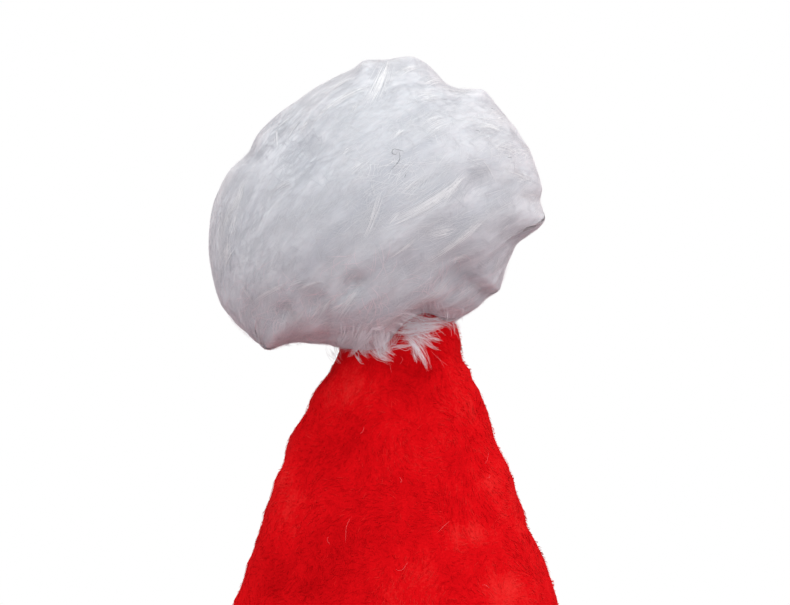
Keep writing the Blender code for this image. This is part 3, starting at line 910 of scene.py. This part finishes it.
def add_node(tree, kind, **sockets):
    """A node of this kind with these values on its input sockets."""
    node = tree.nodes.new(kind)
    for socket, value in sockets.items():
        node.inputs[socket].default_value = value
    return node


def add_noise(tree, vector, scale, detail, roughness=0.5):
    node = add_node(tree, "ShaderNodeTexNoise", Scale=scale, Detail=detail, Roughness=roughness)
    tree.links.new(vector, node.inputs["Vector"])
    return node.outputs["Fac"]


def add_ramp(tree, factor, stops):
    """A colour ramp through these (position, colour) stops."""
    node = tree.nodes.new("ShaderNodeValToRGB")
    ramp = node.color_ramp
    while len(ramp.elements) < len(stops):
        ramp.elements.new(0.5)
    for element, (position, colour) in zip(ramp.elements, stops):
        element.position = position
        element.color = (*colour, 1.0)
    tree.links.new(factor, node.inputs["Fac"])
    return node.outputs["Color"]


def add_math(tree, operation, *values):
    """The output of a math node, whose inputs are sockets or plain numbers."""
    node = tree.nodes.new("ShaderNodeMath")
    node.operation = operation
    for place, value in zip(node.inputs, values):
        if isinstance(value, bpy.types.NodeSocket):
            tree.links.new(value, place)
        else:
            place.default_value = value
    return node.outputs[0]


def read_attribute(tree, name, output="Fac"):
    """What the mesh holds under this name at each place."""
    node = tree.nodes.new("ShaderNodeAttribute")
    node.attribute_name = name
    return node.outputs[output]


def add_bump(tree, shader, height, distance, strength=1.0):
    node = add_node(tree, "ShaderNodeBump", Strength=strength, Distance=distance)
    tree.links.new(height, node.inputs["Height"])
    tree.links.new(node.outputs["Normal"], shader.inputs["Normal"])


def mixed(low, high, share):
    return tuple(a + (b - a) * share for a, b in zip(low, high))


def patched(patches, places):
    """How much paler the patches make each place, on the front only. On the fur this is painted light and
    shade; on the plush it is partly mottling and partly painted shade and light.
    """
    seen = in_front_view(places) / MM
    more = np.zeros(len(places))
    ragged = 1 + 0.9 * noise_at(places, 3 * MM, 7.0)
    for patch in patches:
        away = ((seen[:, 0] - patch.x) / patch.width) ** 2 + ((seen[:, 2] - patch.z) / patch.height) ** 2
        more += patch.more * np.exp(-away)
    return more * ragged * eased(-places[:, 1], 0.0, 10 * MM)


def plush_shades(places):
    """How bright the plush is at each place, from 0, lying down, to 1, rubbed up: random swirls of the
    pile, and patches that are partly painted shade and light.
    """
    swirls = [row.more * noise_at(places, row.size * MM, row.size) for row in PLUSH_SWIRLS]
    return 0.5 + sum(swirls) + patched(PLUSH_PATCHES, places)


def plush_colour(settings, tree, factor):
    """The reds of the plush by how bright it is."""
    reds = tuple(settings.deep), tuple(settings.bright), tuple(settings.fluffed_and_lit)
    return add_ramp(tree, factor, tuple(zip((0.1, 0.6, 1.0), reds)))


def plush_material(settings, name, fibre_weight):
    """The crown's cloth or its pile: mottled where the pile lies different ways."""
    material, tree, shader = new_material(name, 0.95, 0.10, specular=0.03)
    shader.inputs["Sheen Tint"].default_value = (1.0, 0.05, 0.05, 1.0)
    place = tree.nodes.new("ShaderNodeTexCoord").outputs["Object"]
    fibres = add_noise(tree, place, 1800.0, 3.0, 0.6)
    factor = add_math(tree, "MULTIPLY_ADD", fibres, fibre_weight, read_attribute(tree, "shade"))
    centred = add_math(tree, "SUBTRACT", factor, fibre_weight / 2)
    tree.links.new(plush_colour(settings, tree, centred), shader.inputs["Base Color"])
    add_bump(tree, shader, fibres, 0.12 * MM)
    return material


def strand_material(name, low, high, roughness, sheen, specular):
    """Fibres whose shade runs from one colour to another."""
    material, tree, shader = new_material(name, roughness, sheen, specular=specular)
    colour = add_ramp(tree, read_attribute(tree, "shade"), ((0.0, low), (1.0, high)))
    tree.links.new(colour, shader.inputs["Base Color"])
    return material


def backing_material(settings):
    """Dense fur for under the strands, streaked the way that it is combed, and kept near the grey: painted
    shade of the fur deep under the strands.
    """
    material, tree, shader = new_material("white_fur_backing", 0.6, 0.1, specular=0.15)
    streaks = read_attribute(tree, "streaks", "Vector")
    broad = add_noise(tree, streaks, 300.0, 3.0)
    fine = add_noise(tree, streaks, 1100.0, 3.0, 0.6)
    factor = add_math(tree, "MULTIPLY_ADD", fine, 0.6, broad)
    grey, white = tuple(settings.grey), tuple(settings.white)
    colour = add_ramp(tree, factor, ((0.55, grey), (1.0, mixed(grey, white, 0.4))))
    tree.links.new(colour, shader.inputs["Base Color"])
    shader.inputs["Subsurface Weight"].default_value = 0.8
    shader.inputs["Subsurface Radius"].default_value = (1.0, 0.9, 0.9)
    shader.inputs["Subsurface Scale"].default_value = 1.5 * MM
    add_bump(tree, shader, factor, 0.4 * MM, 0.5)
    return material


def shared_material(name, make):
    """The material of this name, made the first time that it is asked for."""
    return bpy.data.materials.get(name) or make()


def white_backing(settings):
    return shared_material("white_fur_backing", lambda: backing_material(settings))


def white_strands(settings):
    grey, white = tuple(settings.grey), tuple(settings.white)
    return shared_material(
        "white_fur_strands", lambda: strand_material("white_fur_strands", grey, white, 0.45, 0.1, 0.35)
    )


def red_lit_strands(settings):
    low, high = tuple(settings.blush_grey), tuple(settings.blush)
    return shared_material(
        "white_fur_wisps", lambda: strand_material("white_fur_wisps", low, high, 0.45, 0.1, 0.3)
    )


def place_points(mesh, places):
    mesh.vertices.foreach_set("co", places.astype(np.float32).ravel())
    mesh.update()


def push(mesh, distances):
    """Moves each of the mesh's points along its normal."""
    points, normals = vertex_arrays(mesh)
    place_points(mesh, points + normals * distances[:, None])


def write_shades(mesh, shades):
    attribute = mesh.attributes.new("shade", "FLOAT", "POINT")
    attribute.data.foreach_set("value", shades.astype(np.float32).ravel())


def write_streaks(mesh, coordinates):
    attribute = mesh.attributes.new("streaks", "FLOAT_VECTOR", "POINT")
    attribute.data.foreach_set("vector", coordinates.astype(np.float32).ravel())


def eased(values, low, high):
    """0 below low, 1 above high and a smooth step between."""
    share = np.clip((values - low) / (high - low), 0, 1)
    return share * share * (3 - 2 * share)


def shape_pompom(mesh, depth):
    """Draws a copy of the ball to the outline less this depth, with soft lumps, hollows and streaks."""
    points, normals = vertex_arrays(mesh)
    direction = pompom_directions(points)
    angle = np.degrees(np.arctan2(direction[:, 2], direction[:, 0]))
    sharp = pompom_outline(angle)
    soft = np.mean([pompom_outline(angle + turn) for turn in range(-24, 25, 6)], axis=0)
    radius = soft + (sharp - soft) * (1 - eased(np.abs(direction[:, 1]), 0.25, 0.75))
    shape = direction * np.column_stack((radius, np.full_like(radius, POMPOM_HALF_DEPTH), radius))

    seen = in_front_view(POMPOM_CENTRE + shape)
    front = eased(-direction[:, 1], 0.0, 0.25)
    relief = 0.6 * noise_at(points, 14 * MM) * eased(np.abs(direction[:, 1]), 0.1, 0.5)
    relief += 0.30 * noise_at(pompom_streaks(points), 4.0 * MM)
    relief += 0.14 * noise_at(pompom_streaks(points), 1.8 * MM, 2.0)
    dent = np.zeros(len(points))
    for hollow in POMPOM_HOLLOWS:
        away = np.hypot(seen[:, 0] - hollow.x * MM, seen[:, 2] - hollow.z * MM)
        dent += hollow.depth * front * np.exp(-((away / (hollow.radius * MM)) ** 2))
    shape += direction * (relief * MM - depth)[:, None]

    facing_out = eased((direction * normals).sum(axis=1), 0.15, 0.5)
    above_socket = eased(direction[:, 2], -0.88, -0.80)
    outer = np.maximum(facing_out, above_socket)[:, None]
    places = points + (POMPOM_CENTRE + shape - points) * outer - direction * dent[:, None] * MM
    place_points(mesh, places)


def widen_crown(mesh):
    """Draws the crown's cloth out or in at its left and right edges, which are softly wavy."""
    points, normals = vertex_arrays(mesh)
    heights = [row.z * MM for row in CROWN_EDGES]
    left, right = (np.interp(points[:, 2], heights, column) for column in list(zip(*CROWN_EDGES))[1:])
    waves = 1.5 * noise_at(points, 4.5 * MM, 8.0)
    out = np.where(normals[:, 0] < 0, left, right) + waves
    points[:, 0] += out * MM * normals[:, 0] * np.abs(normals[:, 0])
    place_points(mesh, points)


class HAT_OT_crown(bpy.types.Operator):
    """The crown's plush cloth, softly tufted, under its pile"""

    bl_idname = "santa_hat.crown"
    bl_label = "Crown cloth"

    def execute(self, context):
        settings = context.scene.santa_hat_plush
        bm = solid_copy("crown")
        angle = math.radians(60)
        bmesh.ops.join_triangles(
            bm, faces=bm.faces, angle_face_threshold=angle, angle_shape_threshold=angle
        )
        mesh = mesh_with(bm, "crown_cloth", [("SUBSURF", {"levels": 2})])
        points, _ = vertex_arrays(mesh)
        relief = 0.40 * noise_at(points, 14 * MM) + 0.35 * noise_at(points, 5 * MM, 3.0)
        push(mesh, relief * MM * 0.5 - settings.skin_depth)
        widen_crown(mesh)
        write_shades(mesh, plush_shades(points))
        cloth = add_piece("crown_cloth", mesh, plush_material(settings, "red_plush", 0.7))
        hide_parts("crown")
        return {"FINISHED"}


class HAT_OT_crown_pile(bpy.types.Operator):
    """The crown's short pile, which leans this way and that in patches"""

    bl_idname = "santa_hat.crown_pile"
    bl_label = "Crown pile"

    def execute(self, context):
        settings = context.scene.santa_hat_plush
        cloth = bpy.data.objects["crown_cloth"].data
        cuff_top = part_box("cuff")[1].z

        def weigh(places, normals):
            plan = unit(places * (1, 1, 0))
            outer = (normals * plan).sum(axis=1) > 0.1
            shown = places[:, 2] > cuff_top - 6 * MM
            return (outer & shown) * np.where(places[:, 2] > FINE_PILE_FROM, FINE_PILE_DENSITY, 1.0)

        chance = np.random.default_rng(7)
        roots, normals = scatter(cloth, settings.pile_count, 7, weigh)
        swirl = np.column_stack([noise_at(roots, 11 * MM, seed) for seed in (1.0, 5.0, 9.0)])
        sideways = 2.4 * normals[:, :1] ** 2 * np.sign(normals[:, :1]) * (1, 0, 0)
        lean = swirl * 2.4 - UP * 0.45 + sideways + chance.normal(0, 0.25, roots.shape)
        lean = across_normal(lean, normals) * chance.uniform(0.8, 1.2, (len(roots), 1))
        length = settings.pile_length * chance.uniform(0.7, 1.25, (len(roots), 1))
        coarse = np.where(roots[:, 2] > FINE_PILE_FROM, 1.0, COARSE_PILE_WIDTH)
        height = 0.20 * MM * chance.uniform(0.5, 1.2, (len(roots), 1))
        middles = roots + normals * height + lean * length * 0.5
        tips = roots + normals * height * 0.8 + lean * length
        paths = np.stack((roots - normals * 0.1 * MM, middles, tips), axis=1)
        outward = np.repeat(unit(normals + lean * 0.10)[:, None], 3, axis=1)
        widths = settings.pile_width * chance.uniform(0.7, 1.3, len(roots)) * coarse
        patches = plush_shades(roots) + chance.normal(0, 0.09, len(roots)) + 0.05
        # Tufts are darker at the root and paler at the tip: painted shade at the foot of the pile.
        shades = np.clip(patches[:, None] + np.array((-0.05, 0.0, 0.08)), 0, 1)
        material = plush_material(settings, "red_pile", 0.2)
        mesh = strand_mesh("crown_pile", paths, outward, widths, shades)
        add_piece("crown_pile", mesh, material)
        return {"FINISHED"}


class HAT_OT_cuff(bpy.types.Operator):
    """The cuff's backing: the turned-up band under its fur"""

    bl_idname = "santa_hat.cuff"
    bl_label = "Cuff backing"

    def execute(self, context):
        settings = context.scene.santa_hat_fur
        remesh = {"mode": "VOXEL", "voxel_size": 2.4 * MM}
        smooth = {"iterations": 4, "factor": 0.5}
        mesh = mesh_with(solid_copy("cuff"), "cuff_backing", [("REMESH", remesh), ("SMOOTH", smooth)])
        points, normals = vertex_arrays(mesh)
        relief = 0.5 * noise_at(cuff_streaks(points), 8 * MM) + 0.3 * noise_at(cuff_streaks(points), 4 * MM)
        push(mesh, relief * MM * outside_of_cuff(points, normals) - 1.2 * MM)
        write_streaks(mesh, cuff_streaks(points))
        backing = add_piece("cuff_backing", mesh, white_backing(settings))
        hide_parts("cuff")
        return {"FINISHED"}


class HAT_OT_cuff_fur(bpy.types.Operator):
    """The cuff's long fur, which hangs in locks"""

    bl_idname = "santa_hat.cuff_fur"
    bl_label = "Cuff fur"

    def execute(self, context):
        material = white_strands(context.scene.santa_hat_fur)
        coat = Coat(["cuff_backing"], cuff_flow, cuff_streaks, outside_of_cuff, lowest=0.4 * MM)
        for layer in CUFF_LAYERS:
            lay_fur(coat, layer, material)
        guides, outward, tresses = ruled_tresses(coat, CUFF_TRESS_RULE, coat.weigh)
        lay_tresses(coat, "cuff_tresses", guides, outward, tresses, CUFF_TRESS_STRAND, material, 53)
        return {"FINISHED"}


class HAT_OT_pompom(bpy.types.Operator):
    """The pompom's backing: the ball of dense fur under its strands"""

    bl_idname = "santa_hat.pompom"
    bl_label = "Pompom backing"

    def execute(self, context):
        settings = context.scene.santa_hat_fur
        remesh = {"mode": "VOXEL", "voxel_size": 0.85 * MM}
        smooth = {"iterations": 6, "factor": 0.5}
        mesh = mesh_with(solid_copy("pompom"), "pompom_backing", [("REMESH", remesh), ("SMOOTH", smooth)])
        shape_pompom(mesh, settings.backing_depth)
        points, _ = vertex_arrays(mesh)
        write_streaks(mesh, pompom_streaks(points))
        backing = add_piece("pompom_backing", mesh, white_backing(settings))
        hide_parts("pompom")
        return {"FINISHED"}


class HAT_OT_pompom_fur(bpy.types.Operator):
    """The pompom's long fur, combed round it, with the tresses that catch the light"""

    bl_idname = "santa_hat.pompom_fur"
    bl_label = "Pompom fur"

    def execute(self, context):
        material = white_strands(context.scene.santa_hat_fur)

        def weigh(places, normals):
            return ((normals * pompom_directions(places)).sum(axis=1) > 0.2).astype(float)

        def near_the_neck(places, normals):
            return weigh(places, normals) * eased(-pompom_directions(places)[:, 2], 0.30, 0.75)

        def away_from_front(places, normals):
            return weigh(places, normals) * eased(pompom_directions(places)[:, 1], -0.75, -0.35)

        coat = Coat(["pompom_backing"], pompom_flow, pompom_streaks, weigh, pompom_calm)
        for layer in POMPOM_LAYERS:
            lay_fur(coat, layer, material)
        coat.weigh = near_the_neck
        lay_fur(coat, POMPOM_CURLS, red_lit_strands(context.scene.santa_hat_fur))
        guides, outward = seen_guides(coat, FRONT_TRESSES)
        strand = FRONT_TRESS_STRAND
        lay_tresses(coat, "front_tresses", guides, outward, FRONT_TRESSES, strand, material, 54)
        guides, outward, tresses = ruled_tresses(coat, POMPOM_TRESS_RULE, away_from_front)
        strand = POMPOM_TRESS_STRAND
        lay_tresses(coat, "pompom_tresses", guides, outward, tresses, strand, material, 55)
        return {"FINISHED"}


def wisp_strands(surface, wisp, chance):
    """The strands of one wisp, drawn to points, which rest on what is behind them or hang before it."""
    size = (wisp.strands, 1)
    share = np.linspace(0, 1, WISP_POINTS)[None]
    first = chance.uniform(0, 0.4, size)
    along = first + (chance.uniform(0.6, 1.12, size) - first) * share
    start, middle, end = np.array(wisp[:6]).reshape(3, 2) * MM
    steer = 2 * middle - (start + end) / 2
    t = along[:, :, None]
    line = (1 - t) ** 2 * start + 2 * t * (1 - t) * steer + t**2 * end
    heading = unit((1 - t) * (steer - start) + t * (end - steer))
    points = max(1, wisp.strands // 8)
    point = chance.normal(0, 0.5, points)[chance.integers(0, points, wisp.strands)][:, None]
    own = chance.normal(0, 0.45, size) * (1.05 - 0.6 * along)
    width = wisp.width + (wisp.end_width - wisp.width) * along
    curl = chance.normal(0, 0.45, size) * np.sin(np.pi * along * chance.uniform(0.6, 2.2, size))
    across = ((point + own) * width + curl) * MM
    seen = line + np.stack((-heading[:, :, 1], heading[:, :, 0]), axis=2) * across[:, :, None]

    steps = sight_lines(seen[:, :, 0], seen[:, :, 1])
    hits, normals = met_in_front(surface, steps)
    behind = hits[:, :, 1]
    straight = behind[:, :1] + (behind[:, -1:] - behind[:, :1]) * share
    rise = wisp.lift * chance.uniform(0.1, 0.9, size) * np.sin(np.pi * (0.15 + 0.75 * share))
    depth = np.minimum(behind, straight) - (0.35 + rise) * MM
    paths = EYE + steps * (1 - depth / EYE[1])[:, :, None]
    facing = np.array((0.0, -0.94, 0.34))
    shades = wisp.shade - 0.2 * np.minimum(np.abs(own), 1) + chance.normal(0, 0.12, size)
    return paths, unit(normals * 0.4 + facing * 0.6), np.clip(shades + 0 * share, 0, 1)


class HAT_OT_wisps(bpy.types.Operator):
    """The wisps that hang from the pompom over the crown's tip"""

    bl_idname = "santa_hat.wisps"
    bl_label = "Wisps at the neck"

    def execute(self, context):
        chance = np.random.default_rng(41)
        share = np.linspace(0, 1, WISP_POINTS)[None]
        neck = Coat(["pompom_backing", "crown_cloth"])
        laid = [wisp_strands(neck.surface, wisp, chance) for wisp in WISPS]

        reach = 0.2
        size = (FRINGE_STRANDS, 1)
        angle = chance.uniform(0, 2 * np.pi, size)
        angle = angle + chance.normal(0.15, 0.25, size) * share
        top = chance.uniform(321, 326, size)
        end = 317.5 + 2.0 * np.cos(angle[:, :1]) + chance.normal(0, 1.2, size)
        z = (top + (end - top) * share) * MM
        plan = np.stack((np.cos(angle), np.sin(angle), np.zeros_like(angle)), axis=2)
        starts = plan * reach + z[:, :, None] * UP
        hits, normals = neck.surface.seen_from(starts.reshape(-1, 3), -plan.reshape(-1, 3), reach)
        rise = (0.1 + 0.8 * np.sin(np.pi * share * 0.75)) * chance.uniform(0.5, 1.3, size) * MM
        paths = hits.reshape(starts.shape) + plan * rise[:, :, None]
        shades = np.clip(0.6 + chance.normal(0, 0.15, size) + 0 * share, 0, 1)
        whole = lengths_of(np.diff(paths, axis=1)).max(axis=(1, 2)) < LEAP
        laid.append((paths[whole], normals.reshape(starts.shape)[whole], shades[whole]))

        paths, normals, shades = (np.concatenate(column) for column in zip(*laid))
        widths = WISP_STRAND * MM * chance.uniform(0.6, 1.3, len(paths))
        mesh = strand_mesh("neck_wisps", paths, normals, widths, shades)
        # The wisps are tinted pink: painted red light from the crown under them.
        add_piece("neck_wisps", mesh, red_lit_strands(context.scene.santa_hat_fur))
        return {"FINISHED"}


class HAT_OT_loose_fibres(bpy.types.Operator):
    """Loose curled fibres caught in the fur and the plush"""

    bl_idname = "santa_hat.loose_fibres"
    bl_label = "Loose fibres"

    def execute(self, context):
        share = np.linspace(0, 1, FIBRE_POINTS)
        coat = Coat(["pompom_backing", "crown_cloth"])
        grown = {True: [], False: []}
        for fibre in LOOSE_FIBRES:
            angle = np.radians(fibre.heading) + 2 * np.pi * fibre.turns * np.minimum(share / 0.6, 1)
            steps = np.stack((np.cos(angle), np.sin(angle))) * fibre.length / FIBRE_POINTS
            x, z = np.cumsum(steps, axis=1) * MM + np.array(((fibre.x,), (fibre.z,))) * MM
            hits, normals = met_in_front(coat.surface, sight_lines(x, z))
            grown[fibre.dark].append((hits, normals))
        settings = context.scene.santa_hat_fur
        kinds = (
            (True, "dark_fibres", settings.fibre, 0.12, 0.9, WHITE_SLOT),
            # The pale fibres' red colour is painted red light from the plush under them.
            (False, "pale_fibres", settings.pale_fibre, 0.05, 0.5, RED_SLOT),
        )
        for dark, name, colour, width, lift, slot in kinds:
            hits, normals = (np.stack(column) for column in zip(*grown[dark]))
            widths = np.full(len(hits), width * MM)
            mesh = strand_mesh(name, hits + normals * lift * MM, normals, widths, np.ones(hits.shape[:2]))
            material = strand_material(name, tuple(colour), tuple(colour), 0.6, 0.1, 0.3)
            add_piece(name, mesh, material)
        return {"FINISHED"}


class HAT_OT_stage(bpy.types.Operator):
    """The level camera, the soft light from the upper right, the white surroundings and the floor"""

    bl_idname = "santa_hat.stage"
    bl_label = "Stage"

    def execute(self, context):
        settings = context.scene.santa_hat_stage
        scene = context.scene
        scene.view_settings.view_transform = "Standard"

        camera = bpy.data.objects.new("camera", bpy.data.cameras.new("camera"))
        camera.data.lens = settings.lens
        camera.location = (0, -settings.distance, settings.eye_height)
        camera.rotation_euler = (math.radians(90), 0, 0)
        scene.collection.objects.link(camera)
        scene.camera = camera

        key = bpy.data.objects.new("key_light", bpy.data.lights.new("key_light", "AREA"))
        key.data.shape = "DISK"
        key.data.size = settings.key_size
        key.data.energy = settings.key_power
        target = Vector((0, 0, settings.aim_height))
        key.location = target + Vector(settings.key_offset)
        key.rotation_euler = (target - key.location).to_track_quat("-Z", "Y").to_euler()
        scene.collection.objects.link(key)

        world = bpy.data.worlds.new("white_surroundings")
        world.use_nodes = True
        tree = world.node_tree
        tree.nodes.clear()
        heading = tree.nodes.new("ShaderNodeTexCoord").outputs["Generated"]
        colour = tree.nodes.new("ShaderNodeCombineColor")
        for row in SOFT_LIGHT:
            slope = tree.nodes.new("ShaderNodeVectorMath")
            slope.operation = "DOT_PRODUCT"
            tree.links.new(heading, slope.inputs[0])
            slope.inputs[1].default_value = (row.right, -row.front, row.up)
            total = add_math(tree, "ADD", slope.outputs["Value"], row.level)
            tree.links.new(add_math(tree, "MAXIMUM", total, LEAST_LIGHT), colour.inputs[row.channel])
        rays = tree.nodes.new("ShaderNodeLightPath")
        light = add_node(tree, "ShaderNodeBackground", Strength=1.0)
        tree.links.new(colour.outputs["Color"], light.inputs["Color"])
        seen = add_node(tree, "ShaderNodeBackground", Color=(1, 1, 1, 1), Strength=1.0)
        mix = tree.nodes.new("ShaderNodeMixShader")
        out = tree.nodes.new("ShaderNodeOutputWorld")
        tree.links.new(rays.outputs["Is Camera Ray"], mix.inputs["Fac"])
        tree.links.new(light.outputs[0], mix.inputs[1])
        tree.links.new(seen.outputs[0], mix.inputs[2])
        tree.links.new(mix.outputs[0], out.inputs["Surface"])
        scene.world = world

        bm = bmesh.new()
        bmesh.ops.create_circle(bm, cap_ends=True, segments=96, radius=settings.floor_radius)
        mesh = bpy.data.meshes.new("floor")
        bm.to_mesh(mesh)
        bm.free()
        material, tree, shader = new_material("pale_floor", 0.9, 0.0)
        place = tree.nodes.new("ShaderNodeTexCoord").outputs["Object"]
        grain = add_noise(tree, place, 40.0, 4.0)
        tones = (tuple(part + more for part in settings.floor_colour) for more in (-0.01, 0.01))
        colour = add_ramp(tree, grain, tuple(zip((0.3, 0.7), tones)))
        tree.links.new(colour, shader.inputs["Base Color"])
        mesh.materials.append(material)
        floor = bpy.data.objects.new("floor", mesh)
        scene.collection.objects.link(floor)
        return {"FINISHED"}


SETTINGS = (
    ("santa_hat_plush", PlushSettings),
    ("santa_hat_fur", FurSettings),
    ("santa_hat_stage", StageSettings),
)
OPERATORS = (
    HAT_OT_crown,
    HAT_OT_crown_pile,
    HAT_OT_cuff,
    HAT_OT_cuff_fur,
    HAT_OT_pompom,
    HAT_OT_pompom_fur,
    HAT_OT_wisps,
    HAT_OT_loose_fibres,
    HAT_OT_stage,
)


class HAT_PT_panel(bpy.types.Panel):
    """Lists the hat's pieces and their settings"""

    bl_idname = "HAT_PT_panel"
    bl_label = "Santa Hat"
    bl_space_type = "VIEW_3D"
    bl_region_type = "UI"
    bl_category = "Santa Hat"

    def draw(self, context):
        for name, group in SETTINGS:
            box = self.layout.box()
            for setting in group.__annotations__:
                box.prop(getattr(context.scene, name), setting)
        for operator in OPERATORS:
            self.layout.operator(operator.bl_idname)


def register():
    for name, group in SETTINGS:
        bpy.utils.register_class(group)
        setattr(bpy.types.Scene, name, PointerProperty(type=group))
    for operator in OPERATORS:
        bpy.utils.register_class(operator)
    bpy.utils.register_class(HAT_PT_panel)


def unregister():
    bpy.utils.unregister_class(HAT_PT_panel)
    for operator in reversed(OPERATORS):
        bpy.utils.unregister_class(operator)
    for name, group in reversed(SETTINGS):
        delattr(bpy.types.Scene, name)
        bpy.utils.unregister_class(group)


def main():
    register()
    for operator in OPERATORS:
        step = operator.bl_idname.split(".")[1]
        getattr(bpy.ops.santa_hat, step)()


if __name__ == "__main__":
    main()
